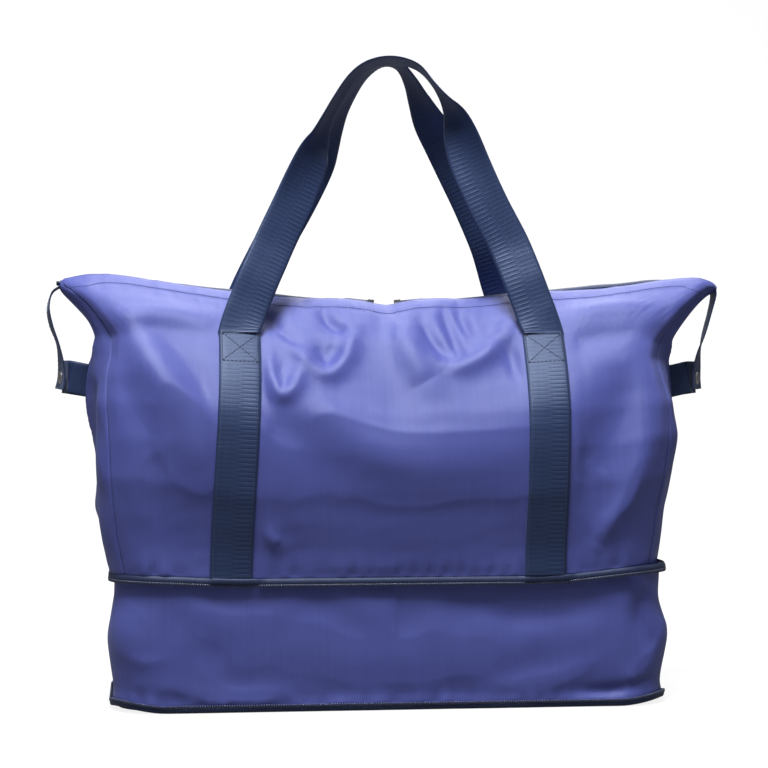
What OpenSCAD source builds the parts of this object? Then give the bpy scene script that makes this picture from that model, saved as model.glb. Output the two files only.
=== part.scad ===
// Foldable tote bag: zipped top with wings, webbing handles, snapped side
// straps, and a base that drops down below a zip to make the bag taller.
// Millimetres. +Z is up, the front faces -Y, and the origin is on the floor
// under the middle of the base.

/* [Bag] */
// Length of the base, side to side
base_length = 512; // [440:2:560]
// Depth of the base, front to back
base_depth = 196; // [160:2:220]
// Height of the drop-down section
drop_height = 120; // [90:1:150]
// Height of the top zip above the floor at the middle of the bag
rim_low = 369; // [340:1:420]
// How far the top zip has climbed where it reaches a wing
rim_climb = 25; // [10:1:40]
// Length of the top from wing tip to wing tip
wing_span = 632; // [600:2:660]
// Thickness of the fabric panels
fabric = 2; // [1.5:0.1:3]

/* [Handles] */
// Width of the handle webbing
webbing_width = 38; // [30:1:44]
// Thickness of the handle webbing
webbing = 1.8; // [1.2:0.1:2.4]
// Distance of each handle leg from the middle of the bag
leg_offset = 140; // [120:1:160]
// Height of the seam where a handle leaves its panel
handle_seam = 344; // [340:1:346]
// Height of the top of the handles
handle_top = 600; // [580:1:620]

/* [Side straps] */
// Width of the side strap and its tab
strap_width = 30; // [25:1:32]
// Lean of the side strap towards the bag, in degrees
strap_lean = 9; // [6:1:10]
// Distance from the strap's seam down to its snap
snap_drop = 86; // [80:1:90]
// Radius of the snap's cap
snap_radius = 6.2; // [5.5:0.1:7]

/* [Zips] */
// Width of the gap between the two halves of the top zip's chain
chain_slot = 1.4; // [1.2:0.1:1.8]
// Distance of each top slider from the middle of the bag
slider_offset = 13; // [12:1:20]
// Where the drop zip's slider is parked along the back
parked_at = 170; // [100:5:190]

/* [Hidden] */
$fn = 48;

fabric_blue = [0.33, 0.36, 0.62];
webbing_navy = [0.16, 0.21, 0.36];
tape_navy = [0.11, 0.14, 0.26];
chain_navy = [0.24, 0.27, 0.38];
thread_navy = [0.09, 0.12, 0.24];
snap_silver = [0.78, 0.76, 0.74];
slider_grey = [0.62, 0.6, 0.58];
foam_grey = [0.3, 0.3, 0.32];

base_l = base_length / 2;
base_d = base_depth / 2;
base_r = 46;
seam = drop_height;
wing_from = 250;
rim_half = 15;
tip = wing_span / 2;
// Bend of the wing's top edge, so that its tip is 4 mm under its shoulder.
wing_bend = (rim_climb / wing_from * (tip - wing_from) + 4) / pow(tip - wing_from, 2);

// Sections of the upper bag from its lower seam (0) to its top edge (1):
// [level, half length, half depth, corner radius]
section = [
    [0, base_l + 1, 100, 46], [0.1, base_l + 5, 102.5, 47],
    [0.2, base_l + 8.5, 104.5, 48], [0.32, base_l + 12, 105, 48],
    [0.45, base_l + 14.5, 102, 47], [0.57, base_l + 15.5, 95, 46],
    [0.66, base_l + 13, 86.5, 45], [0.72, base_l + 11.5, 80, 44],
    [0.8, tip - 43, 70, 42], [0.86, tip - 26.5, 62, 38],
    [0.92, tip - 14, 46, 30], [0.965, tip - 6, 31, 21],
    [1, tip, rim_half, 12]
];
levels = [for (s = section) s[0]];
half_lengths = [for (s = section) [s[0], s[1]]];
half_depths = [for (s = section) [s[0], s[2]]];
corner_radii = [for (s = section) [s[0], s[3]]];

// Share of a panel's half width that is straight, before its corner starts.
straight_share = 0.75;
panel_steps = [-1, -0.92, -0.84, -0.75, -0.5, -0.25, 0, 0.25, 0.5, 0.75, 0.84, 0.92, 1];
gusset_steps = [-1, -0.85, -0.7, -0.5, 0, 0.5, 0.7, 0.85, 1];
gusset_straight = 0.5;
// Half of the cut between a panel and its gusset, in degrees of the corner.
seam_cut = 0.4;

function rim(x) = rim_low + rim_climb / wing_from * abs(x)
    - wing_bend * pow(max(abs(x) - wing_from, 0), 2);
function height_at(x, level) = seam + (rim(x) - seam) * level;
function level_at(x, z) = (z - seam) / (rim(x) - seam);

function panel_point(level, u, inset) =
    let (
        l = lookup(level, half_lengths) - inset,
        d = lookup(level, half_depths) - inset,
        r = lookup(level, corner_radii) - inset,
        side = u < 0 ? -1 : 1,
        turn = max(abs(u) - straight_share, 0) / (1 - straight_share) * (45 - seam_cut),
        x = side * (min(abs(u) / straight_share, 1) * (l - r) + r * sin(turn))
    )
    [x, -(d - r + r * cos(turn)), height_at(x, level)];

function gusset_point(level, u, inset) =
    let (
        l = lookup(level, half_lengths) - inset,
        d = lookup(level, half_depths) - inset,
        r = lookup(level, corner_radii) - inset,
        side = u < 0 ? -1 : 1,
        turn = max(abs(u) - gusset_straight, 0) / (1 - gusset_straight) * (45 - seam_cut),
        x = l - r + r * cos(turn)
    )
    [x, side * (min(abs(u) / gusset_straight, 1) * (d - r) + r * sin(turn)), height_at(x, level)];

function unit(v) = v / norm(v);
function smooth(t) = let (s = min(max(t, 0), 1)) s * s * (3 - 2 * s);
function mix(a, b, t) = a + (b - a) * t;

// A closed sheet between two grids of points. Seen from outside, each row of
// the outer grid runs left to right and the rows follow each other upwards.
module slab(outer, inner) {
    rows = len(outer) - 1;
    cols = len(outer[0]) - 1;
    size = (rows + 1) * (cols + 1);
    function o(i, j) = i * (cols + 1) + j;
    function n(i, j) = size + o(i, j);
    polyhedron(
        points = concat([for (row = outer) each row], [for (row = inner) each row]),
        faces = [
            for (i = [0:rows - 1], j = [0:cols - 1]) each [
                [o(i, j), o(i + 1, j), o(i + 1, j + 1)], [o(i, j), o(i + 1, j + 1), o(i, j + 1)],
                [n(i, j), n(i + 1, j + 1), n(i + 1, j)], [n(i, j), n(i, j + 1), n(i + 1, j + 1)]
            ],
            for (j = [0:cols - 1]) each [
                [o(0, j), o(0, j + 1), n(0, j + 1)], [o(0, j), n(0, j + 1), n(0, j)],
                [o(rows, j + 1), o(rows, j), n(rows, j)], [o(rows, j + 1), n(rows, j), n(rows, j + 1)]
            ],
            for (i = [0:rows - 1]) each [
                [o(i + 1, 0), o(i, 0), n(i, 0)], [o(i + 1, 0), n(i, 0), n(i + 1, 0)],
                [o(i, cols), o(i + 1, cols), n(i + 1, cols)], [o(i, cols), n(i + 1, cols), n(i, cols)]
            ]
        ],
        convexity = 6
    );
}

module panel() {
    color(fabric_blue)
        slab(
            [for (v = levels) [for (u = panel_steps) panel_point(v, u, 0)]],
            [for (v = levels) [for (u = panel_steps) panel_point(v, u, fabric)]]
        );
}

module gusset() {
    color(fabric_blue)
        slab(
            [for (v = levels) [for (u = gusset_steps) gusset_point(v, u, 0)]],
            [for (v = levels) [for (u = gusset_steps) gusset_point(v, u, fabric)]]
        );
}

// Webbing sewn down the panel, from the handle's seam to the drop zip.
run_gap = 0.6;
run_top = handle_seam - 1.3;
run_levels = [0.02, 0.1, 0.2, 0.32, 0.45, 0.57, 0.66, 0.72, 0.8];

module strap_run() {
    edges = [leg_offset - webbing_width / 2, leg_offset + webbing_width / 2];
    function row(out) = [
        for (v = run_levels)
            [for (x = edges) [x, -lookup(v, half_depths) - out, height_at(x, v)]],
        [for (x = edges) [x, -lookup(level_at(x, run_top), half_depths) - out, run_top]]
    ];
    color(webbing_navy) slab(row(run_gap + webbing), row(run_gap));
}

// Box of thread with a cross in it, on the top of a strap run.
stitch = 0.6;
stitch_gap = 0.35;
box_side = 31;
box_margin = 3;
box_foot = 0.72;
// The rim's climb turns the panel's face a little along the webbing.
box_twist = 3;

module stitched_box() {
    top = run_top - box_margin;
    low = [-lookup(box_foot, half_depths), height_at(leg_offset, box_foot)];
    high = [-lookup(level_at(leg_offset, top), half_depths), top];
    tilt = atan2(high[0] - low[0], high[1] - low[1]);
    color(thread_navy)
        translate([leg_offset, high[0], high[1]])
            rotate([-tilt, 0, 0])
                rotate([0, 0, -box_twist])
                    translate([0, -run_gap - webbing - stitch_gap, -box_side / 2])
                        rotate([90, 0, 0])
                            linear_extrude(stitch)
                                for (a = [0, 90]) rotate(a) {
                                    for (s = [-1, 1])
                                        translate([s * (box_side - stitch) / 2, 0])
                                            square([stitch, box_side], center = true);
                                    rotate(45)
                                        square([stitch, (box_side - stitch) * sqrt(2)], center = true);
                                }
}

module stitching() {
    stitched_box();
    mirror([1, 0, 0]) stitched_box();
}

// Half of the top zip, from the middle of the bag to a wing.
tape = 0.8;
chain_height = 2.2;
chain_width = 2.2;
chain_from = chain_slot / 2;
tape_from = chain_from + chain_width;
tape_to = rim_half - fabric - 0.4;
zip_drop = 1.2;
zip_stations = [0, wing_from, 265, 280, 291, 300];

function strip_row(x, near, far, thick, out) =
    [[x, -far, rim(x) - zip_drop + out * thick / 2], [x, -near, rim(x) - zip_drop + out * thick / 2]];

module zip_strip(near, far, thick) {
    stations = [for (i = [len(zip_stations) - 1:-1:1]) -zip_stations[i], for (x = zip_stations) x];
    function face(out) = [for (x = stations) [for (p = strip_row(x, near, far, thick, out)) p]];
    slab(face(-1), face(1));
}

module top_tape() {
    color(tape_navy) zip_strip(tape_from, tape_to, tape);
}

module top_chain() {
    color(chain_navy) zip_strip(chain_from, tape_from, chain_height);
}

// Folded scrap of tape that closes the zip's end inside the wing tip.
module zip_end() {
    color(tape_navy)
        translate([301, -tape_to + 1, rim(304) - 5.5])
            cube([6.5, 2 * tape_to - 2, 4]);
}

// A point on the handle's centre line and how the webbing turns there.
leg_edge = leg_offset + webbing_width / 2;
leg_root_y = -lookup(level_at(leg_edge, handle_seam), half_depths) - run_gap - 1.5 * webbing - 0.35;
handle_y = -webbing_width / 2 - 1;
half_path = [
    [-leg_offset, leg_root_y, handle_seam], [-128.5, -56, 378], [-114.5, -49, 414],
    [-98, -43, 449], [-81.5, -37, 486], [-66, -31.5, 520], [-53, -27, 551],
    [-38, -23, handle_top - 20], [-18, handle_y, handle_top - 4]
];
handle_path = concat(
    half_path, [[0, handle_y, handle_top]],
    [for (i = [len(half_path) - 1:-1:0]) [-half_path[i][0], half_path[i][1], half_path[i][2]]]
);
handle_last = len(handle_path) - 1;
handle_steps = 2;

function path_point(i) = handle_path[min(max(i, 0), handle_last)];
function curve(i, t) =
    let (a = path_point(i - 1), b = path_point(i), c = path_point(i + 1), d = path_point(i + 2))
    0.5 * (2 * b + (c - a) * t + (2 * a - 5 * b + 4 * c - d) * t * t
        + (3 * b - a - 3 * c + d) * t * t * t);
handle_line = concat(
    [for (i = [0:handle_last - 1], k = [0:handle_steps - 1]) curve(i, k / handle_steps)],
    [path_point(handle_last)]
);
line_last = len(handle_line) - 1;

function along(i) = unit(handle_line[min(i + 1, line_last)] - handle_line[max(i - 1, 0)]);
function across(i) =
    let (
        t = along(i),
        z = handle_line[i][2],
        flat = unit(cross(t, [0, 1, 0])),
        turned = unit([0, 1, 0] - t * t[1]),
        angle = 90 * smooth((z - handle_top + 120) / 90),
        free = cos(angle) * flat + sin(angle) * turned,
        sewn = [handle_line[i][0] < 0 ? -1 : 1, 0, 0]
    )
    unit(mix(sewn, free, smooth((z - handle_seam) / 60)));

module handle() {
    function face(out) = [
        for (i = [0:line_last])
            let (p = handle_line[i], w = across(i), n = unit(cross(w, along(i))))
            [for (s = [-1, 1]) p + s * w * webbing_width / 2 + out * n * webbing / 2]
    ];
    color(webbing_navy) slab(face(1), face(-1));
}

// The side strap hangs in its own leaning frame, with its seam at the origin.
strap_seam = [tip - 0.6, 0, rim(tip) - 4];
side_webbing = 1.6;
cap_height = 2;
socket_height = 2.6;
stud_base = 0.9;
nub_radius = 2;
nub_height = 1.5;
snap_gap = 0.35;
tab_face = -side_webbing / 2 - socket_height - snap_gap - stud_base;

module in_strap_frame() {
    translate(strap_seam) rotate([0, strap_lean, 0]) children();
}

module at_snap(x) {
    in_strap_frame() translate([x, 0, -snap_drop]) rotate([0, 90, 0]) children();
}

module side_strap() {
    length = snap_drop + 11;
    color(webbing_navy)
        in_strap_frame()
            difference() {
                translate([-side_webbing / 2, -strap_width / 2, -length])
                    cube([side_webbing, strap_width, length]);
                translate([0, 0, -snap_drop])
                    rotate([0, 90, 0])
                        cylinder(r = nub_radius + 0.7, h = 3 * side_webbing, center = true);
            }
}

module snap_cap() {
    color(snap_silver)
        at_snap(side_webbing / 2)
            rotate_extrude()
                polygon([
                    [0, 0], [snap_radius - 0.4, 0], [snap_radius, 0.4], [snap_radius, 0.9],
                    for (a = [0:15:75])
                        [(snap_radius - 0.6) * cos(a), 0.9 + (cap_height - 0.9) * sin(a)],
                    [0, cap_height]
                ]);
}

module snap_socket() {
    color(snap_silver)
        at_snap(-side_webbing / 2 - socket_height)
            difference() {
                union() {
                    cylinder(r = snap_radius - 1.4, h = socket_height);
                    translate([0, 0, socket_height - 0.9]) cylinder(r = snap_radius - 0.7, h = 0.9);
                }
                translate([0, 0, -1]) cylinder(r = nub_radius + 0.5, h = socket_height);
            }
}

module snap_stud() {
    color(snap_silver)
        at_snap(tab_face) {
            cylinder(r = snap_radius - 0.7, h = stud_base);
            cylinder(r = nub_radius, h = stud_base + nub_height);
        }
}

module snap_post() {
    color(snap_silver)
        at_snap(tab_face - side_webbing - 0.8) cylinder(r = snap_radius - 1.2, h = 0.8);
}

// Loop of webbing that stands out of the gusset and carries the snap's stud.
tab_half = 12;
tab_corner = 6;
tab_length = 24.5;

module loop_outline(half, corner, length) {
    translate([-length, -half]) square([length - corner, 2 * half]);
    translate([-corner - 0.01, corner - half]) square([corner + 0.01, 2 * (half - corner)]);
    for (s = [-1, 1]) translate([-corner, s * (half - corner)]) circle(corner);
}

module side_tab() {
    color(webbing_navy)
        in_strap_frame()
            translate([tab_face, 0, -snap_drop - strap_width / 2 - 3])
                linear_extrude(strap_width)
                    difference() {
                        loop_outline(tab_half, tab_corner, tab_length);
                        translate([-side_webbing, 0])
                            loop_outline(tab_half - side_webbing, tab_corner - side_webbing, tab_length);
                    }
}

// Rounded rectangle for everything that follows the base's outline.
module outline(grow) {
    l = base_l + grow;
    d = base_d + grow;
    r = base_r + grow;
    square([2 * (l - r), 2 * d], center = true);
    square([2 * l, 2 * (d - r)], center = true);
    for (sx = [-1, 1], sy = [-1, 1])
        translate([sx * (l - r), sy * (d - r)]) circle(r);
}

module band(low, high, inner, outer) {
    translate([0, 0, low])
        linear_extrude(high - low)
            difference() {
                outline(outer);
                outline(inner);
            }
}

base_top = 4.6;
wall_out = -1.6;

module drop_wall() {
    color(fabric_blue)
        difference() {
            band(base_top + 0.4, seam - 0.4, wall_out - fabric, wall_out);
            translate([-300, -0.2, 0]) cube([600, 300, 300]);
        }
}

// The two halves of the drop zip run right round the bag.
band_in = 0.6;
chain_out = band_in + 2.2;
band_tape_in = band_in + 0.7;
band_tape_out = band_tape_in + tape;
upper_chain_low = seam - 8;
chain_tall = 3.2;
lower_chain_low = 4.4;

module drop_tape_upper() {
    color(tape_navy) band(upper_chain_low + chain_tall, seam - 0.6, band_tape_in, band_tape_out);
}

module drop_chain_upper() {
    color(chain_navy) band(upper_chain_low, upper_chain_low + chain_tall, band_in, chain_out);
}

module drop_tape_lower() {
    color(tape_navy) band(0.8, lower_chain_low, band_tape_in, band_tape_out);
}

module drop_chain_lower() {
    color(chain_navy)
        band(lower_chain_low, lower_chain_low + chain_tall, band_in, chain_out);
}

module base_panel() {
    color(fabric_blue) linear_extrude(fabric) outline(0);
}

module base_stiffener() {
    color(foam_grey)
        translate([0, 0, fabric + 0.2]) linear_extrude(base_top - fabric - 0.2) outline(-6);
}

// Zip sliders: two plates round the chain and a bored bridge for the pull.
// The plates lie level and the chain runs along X through the origin.
plate = 1.1;
slider_length = 11;
slider_width = 8.6;
running_gap = 0.3;
bridge_height = 3.6;
bore_radius = 0.9;
pin_radius = 0.8;
pull_length = 25;

module plate_shape() {
    square([slider_length - 4, slider_width], center = true);
    translate([-slider_length / 2 + 2, 0]) circle(r = slider_width / 2 - 1.1);
    translate([slider_length / 2 - 2, 0]) circle(r = slider_width / 2 - 0.6);
}

module bridge(base) {
    translate([0, 0, base])
        difference() {
            translate([-3, -0.9, -0.2]) cube([6, 1.8, bridge_height + 0.2]);
            translate([0, 2, bridge_height - 1.8]) rotate([90, 0, 0]) cylinder(r = bore_radius, h = 4);
        }
}

module slider(gap_height, web_width) {
    half = gap_height / 2 + running_gap;
    color(slider_grey) {
        for (low = [half, -half - plate])
            translate([0, 0, low]) linear_extrude(plate) plate_shape();
        translate([-slider_length / 2 + 2.5, -web_width / 2, -half - 0.1])
            cube([4, web_width, 2 * half + 0.2]);
        bridge(half + plate);
    }
}

// The pull hangs on the pin through the bridge; the pin is at the origin.
module pull() {
    arm = 3.4;
    color(slider_grey) {
        rotate([90, 0, 0]) cylinder(r = pin_radius, h = 2 * arm, center = true);
        for (s = [-1, 1])
            translate([-0.7, s * arm - 0.7, -0.7]) cube([8, 1.4, 1.4]);
        difference() {
            union() {
                translate([6, -arm - 0.7, -0.7]) cube([pull_length - 9.6, 2 * arm + 1.4, 1.4]);
                translate([pull_length - 4.1, 0, -0.7]) cylinder(r = arm + 0.7, h = 1.4);
            }
            translate([pull_length - 4.5, 0, -1]) cylinder(r = 1.8, h = 2);
        }
    }
}

rim_slope = atan(rim_climb / wing_from);
pin_height = chain_height / 2 + running_gap + plate + bridge_height - 1.8;

module on_rim() {
    translate([slider_offset, 0, rim(slider_offset) - zip_drop])
        rotate([0, -rim_slope, 0])
            children();
}

module top_slider() {
    on_rim() slider(chain_height, chain_slot - 0.7);
}

module top_pull() {
    on_rim() translate([0, 0, pin_height]) pull();
}

// The drop zip's slider hangs on the upper half of the chain, round its free
// lower edge, with its plates upright and its bridge facing backwards.
drop_chain_mid = base_d + (band_in + chain_out) / 2;
drop_half = (chain_out - band_in) / 2 + running_gap;
drop_pin = drop_half + plate + bridge_height - 1.8;

module at_drop_slider() {
    translate([parked_at, drop_chain_mid, upper_chain_low + chain_tall / 2])
        rotate([-90, 0, 0])
            children();
}

module drop_slider() {
    web = 1.3;
    edge = chain_tall / 2 + running_gap;
    color(slider_grey)
        at_drop_slider() {
            for (low = [drop_half, -drop_half - plate])
                translate([-slider_length / 2, -2.2, low]) cube([slider_length, edge + web + 2.2, plate]);
            translate([-slider_length / 2, edge, -drop_half - 0.1])
                cube([slider_length, web, 2 * drop_half + 0.2]);
            bridge(drop_half + plate);
        }
}

module drop_pull() {
    at_drop_slider() translate([0, 0, drop_pin]) pull();
}

module back() { mirror([0, 1, 0]) children(); }
module left() { mirror([1, 0, 0]) children(); }

panel();  // front_panel
back() panel();  // back_panel
left() gusset();  // left_gusset
gusset();  // right_gusset
top_tape();  // top_tape_front
back() top_tape();  // top_tape_back
top_chain();  // top_chain_front
back() top_chain();  // top_chain_back
left() zip_end();  // zip_end_left
zip_end();  // zip_end_right
left() strap_run();  // strap_run_front_left
strap_run();  // strap_run_front_right
left() back() strap_run();  // strap_run_back_left
back() strap_run();  // strap_run_back_right
stitching();  // stitching_front
back() stitching();  // stitching_back
left() side_tab();  // side_tab_left
side_tab();  // side_tab_right
left() snap_stud();  // snap_stud_left
snap_stud();  // snap_stud_right
left() snap_post();  // snap_post_left
snap_post();  // snap_post_right
drop_wall();  // drop_wall_front
back() drop_wall();  // drop_wall_back
drop_tape_upper();
drop_chain_upper();
base_panel();
base_stiffener();
drop_tape_lower();
drop_chain_lower();
handle();  // handle_front
back() handle();  // handle_back
left() side_strap();  // side_strap_left
left() snap_cap();  // snap_cap_left
left() snap_socket();  // snap_socket_left
side_strap();  // side_strap_right
snap_cap();  // snap_cap_right
snap_socket();  // snap_socket_right
left() top_slider();  // top_slider_left
left() top_pull();  // top_pull_left
top_slider();  // top_slider_right
top_pull();  // top_pull_right
drop_slider();
drop_pull();
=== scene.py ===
"""Cloth, webbing, zips and metal of a foldable tote bag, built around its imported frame."""

import math

import bpy
import numpy as np
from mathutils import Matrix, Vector
from mathutils.bvhtree import BVHTree


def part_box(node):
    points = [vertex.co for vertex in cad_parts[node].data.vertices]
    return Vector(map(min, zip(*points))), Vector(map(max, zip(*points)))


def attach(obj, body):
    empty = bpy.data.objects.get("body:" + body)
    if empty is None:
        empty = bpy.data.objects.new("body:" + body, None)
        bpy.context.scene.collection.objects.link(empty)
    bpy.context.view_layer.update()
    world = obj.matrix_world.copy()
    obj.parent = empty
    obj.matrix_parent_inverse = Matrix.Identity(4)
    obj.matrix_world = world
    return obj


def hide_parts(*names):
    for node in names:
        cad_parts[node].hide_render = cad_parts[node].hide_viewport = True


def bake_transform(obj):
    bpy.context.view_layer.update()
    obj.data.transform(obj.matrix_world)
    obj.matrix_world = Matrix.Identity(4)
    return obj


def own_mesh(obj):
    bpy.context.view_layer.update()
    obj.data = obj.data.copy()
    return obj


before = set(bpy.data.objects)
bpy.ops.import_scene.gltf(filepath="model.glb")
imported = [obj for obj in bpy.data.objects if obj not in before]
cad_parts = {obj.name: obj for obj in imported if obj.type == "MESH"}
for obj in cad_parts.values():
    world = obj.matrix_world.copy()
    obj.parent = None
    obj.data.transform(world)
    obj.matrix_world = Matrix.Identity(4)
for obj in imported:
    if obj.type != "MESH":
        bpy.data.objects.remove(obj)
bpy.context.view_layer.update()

bl_info = {
    "name": "Foldable tote bag",
    "version": (1, 0, 0),
    "blender": (4, 5, 0),
    "location": "3D View > Sidebar > Tote",
    "description": "Builds the cloth, webbing, zips and metal of a tote bag around its frame",
    "category": "Add Mesh",
}

MM = 0.001
UP = np.array([0.0, 0.0, 1.0])
RIGHT = np.array([1.0, 0.0, 0.0])
AWAY = np.array([0.0, 1.0, 0.0])

# Lengths in these tables and sums are in millimetres unless a line multiplies them by MM.
# distance of each handle leg from the middle
LEG_OFFSET = 140
# depth of the hem's row of stitches below the rim
HEM = 9.0
# the base outline: half length, half depth and corner radius
OUTLINE = (256.0, 98.0, 46.0)
# the height of the drop wall's lower edge, that it folds down to
WALL_FOOT = 4.8


# ---------------------------------------------------------------- values that a user would change


class ToteSizes(bpy.types.PropertyGroup):
    """Sizes of the soft pieces."""

    webbing_width: bpy.props.FloatProperty(
        name="Webbing width", description="Width of the handle webbing", default=0.038, unit="LENGTH"
    )
    webbing_thickness: bpy.props.FloatProperty(
        name="Webbing thickness", description="Thickness of the webbing", default=0.0018, unit="LENGTH",
    )
    rib_pitch: bpy.props.FloatProperty(
        name="Rib pitch", description="Distance between two ribs of webbing", default=0.0042, unit="LENGTH",
    )
    strap_width: bpy.props.FloatProperty(
        name="Side strap width", description="Width of the side straps", default=0.030, unit="LENGTH"
    )
    strap_thickness: bpy.props.FloatProperty(
        name="Side strap thickness", description="Thickness of the side straps", default=0.0016, unit="LENGTH"
    )
    cloth_thickness: bpy.props.FloatProperty(
        name="Cloth thickness", description="Thickness of the nylon", default=0.0012, unit="LENGTH"
    )
    tooth_pitch: bpy.props.FloatProperty(
        name="Tooth pitch", description="Distance between two zip teeth", default=0.0022, unit="LENGTH"
    )
    stitch_length: bpy.props.FloatProperty(
        name="Stitch length", description="Length of one stitch", default=0.0026, unit="LENGTH"
    )


class ToteColours(bpy.types.PropertyGroup):
    """Colours of the finishes."""

    nylon: bpy.props.FloatVectorProperty(
        name="Nylon", description="Satin nylon of the body",
        subtype="COLOR", size=3, default=(0.082, 0.100, 0.385),
    )
    webbing: bpy.props.FloatVectorProperty(
        name="Webbing", description="Handle and strap webbing",
        subtype="COLOR", size=3, default=(0.024, 0.044, 0.125),
    )
    tape: bpy.props.FloatVectorProperty(
        name="Zip tape", description="Woven tape of the zips",
        subtype="COLOR", size=3, default=(0.018, 0.027, 0.082),
    )
    teeth: bpy.props.FloatVectorProperty(
        name="Zip teeth", description="Moulded teeth of the zips",
        subtype="COLOR", size=3, default=(0.030, 0.038, 0.090),
    )
    thread: bpy.props.FloatVectorProperty(
        name="Thread", description="Sewing thread",
        subtype="COLOR", size=3, default=(0.030, 0.042, 0.110),
    )
    metal: bpy.props.FloatVectorProperty(
        name="Metal", description="Nickel of the snaps and sliders",
        subtype="COLOR", size=3, default=(0.72, 0.71, 0.70),
    )


def sizes():
    return bpy.context.scene.tote_sizes


def colours():
    return bpy.context.scene.tote_colours


# ---------------------------------------------------------------- small sums


def mm(rows):
    return np.array(rows, float) * MM


def smooth(t):
    t = np.clip(t, 0.0, 1.0)
    return t * t * (3 - 2 * t)


def unit(v):
    return v / np.maximum(np.linalg.norm(v, axis=-1, keepdims=True), 1e-12)


def square_to(across, along):
    """The directions across, turned square to along."""
    return unit(across - along * (across * along).sum(1, keepdims=True))


def distances(points):
    """How far each point of a line is from its start, measured along it."""
    return np.concatenate([[0], np.cumsum(np.linalg.norm(np.diff(points, axis=0), axis=1))])


def between(at, run, rows):
    """The rows' values at places along a run."""
    return np.stack([np.interp(at, run, rows[:, k]) for k in range(rows.shape[1])], axis=-1)


def table(value, rows, column):
    """The column of a table at each value of its first column, with the steps between rows rounded off."""
    rows = np.array(rows, float)
    fine = np.linspace(rows[0, 0], rows[-1, 0], 400)
    line = np.interp(fine, rows[:, 0], rows[:, column])
    reach = 9
    padded = np.concatenate([2 * line[0] - line[reach:0:-1], line, 2 * line[-1] - line[-2 : -reach - 2 : -1]])
    weight = np.hanning(2 * reach + 3)[1:-1]
    line = np.convolve(padded, weight / weight.sum(), "valid")
    return np.interp(value, fine, line)


def ripple(a, b, size, seed, count=14):
    """Smooth unevenness, about -1 to 1, over the plane of a and b, with features of about that size."""
    draw = np.random.default_rng(seed)
    total = np.zeros(np.broadcast(a, b).shape)
    for _ in range(count):
        turn = draw.uniform(0, math.pi)
        wave = draw.uniform(0.6, 1.6) * math.pi / size
        total += np.sin(wave * (a * math.cos(turn) + b * math.sin(turn)) + draw.uniform(0, 2 * math.pi))
    return total / math.sqrt(count)


def curve_through(points, spacing):
    """Evenly spaced points on a smooth curve through the given ones."""
    p = np.array(points, float)
    p = np.vstack([2 * p[0] - p[1], p, 2 * p[-1] - p[-2]])
    fine = []
    t = np.linspace(0, 1, 24, endpoint=False)[:, None]
    for a, b, c, d in zip(p[:-3], p[1:-2], p[2:-1], p[3:]):
        square, cube = 2 * a - 5 * b + 4 * c - d, 3 * b - a - 3 * c + d
        fine.append(0.5 * (2 * b + (c - a) * t + square * t**2 + cube * t**3))
    fine = np.vstack([*fine, p[-2][None]])
    run = distances(fine)
    count = max(2, int(round(run[-1] / spacing)) + 1)
    at = np.linspace(0, run[-1], count)
    return between(at, run, fine), at


def soften(values, reach):
    """Each value averaged with its neighbours."""
    weight = np.hanning(2 * reach + 3)[1:-1]
    weight /= weight.sum()
    padded = np.concatenate([np.repeat(values[:1], reach, 0), values, np.repeat(values[-1:], reach, 0)])
    if padded.ndim == 1:
        return np.convolve(padded, weight, "valid")
    return np.stack([np.convolve(padded[:, k], weight, "valid") for k in range(padded.shape[1])], axis=1)


# ---------------------------------------------------------------- meshes


def new_piece(name, points, faces, material, cloth=None, flat_caps=False):
    """A mesh object. cloth holds each point's place on the flat material, in metres."""
    faces = faces.tolist() if isinstance(faces, np.ndarray) else faces
    mesh = bpy.data.meshes.new(name)
    mesh.from_pydata(np.asarray(points).reshape(-1, 3).tolist(), [], faces)
    mesh.polygons.foreach_set("use_smooth", [len(f) == 4 or not flat_caps for f in faces])
    if cloth is not None:
        laid = mesh.attributes.new("cloth", "FLOAT_VECTOR", "POINT")
        laid.data.foreach_set("vector", np.asarray(cloth, np.float32).ravel())
    mesh.materials.append(material)
    piece = bpy.data.objects.new(name, mesh)
    bpy.context.scene.collection.objects.link(piece)
    return piece


def grid_faces(rows, cols, around=False, first=0):
    """Faces of a grid of points stored row by row, closed round its columns if asked."""
    i = np.arange(rows - 1)[:, None]
    j = np.arange(cols if around else cols - 1)[None, :]
    k = (j + 1) % cols
    a = i * cols + j
    b = i * cols + k
    c = (i + 1) * cols + k
    d = (i + 1) * cols + j
    return first + np.stack([a, b, c, d], axis=-1).reshape(-1, 4)


def grid_normals(grid, around=False):
    """Unit normals of a grid, on the side where its rows run rightwards and upwards."""
    if around:
        along = np.roll(grid, -1, 1) - np.roll(grid, 1, 1)
    else:
        along = np.gradient(grid, axis=1)
    return unit(np.cross(along, np.gradient(grid, axis=0)))


def grid_places(grid, around=False):
    """Each point's distance along its row and up its column."""
    rows, cols, _ = grid.shape
    places = np.zeros((rows, cols, 3))
    places[:, 1:, 0] = np.cumsum(np.linalg.norm(np.diff(grid, axis=1), axis=2), axis=1)
    places[:, :, 0] -= places[:, cols // 2 : cols // 2 + 1, 0]
    places[1:, :, 1] = np.cumsum(np.linalg.norm(np.diff(grid, axis=0), axis=2), axis=0)
    return places


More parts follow.
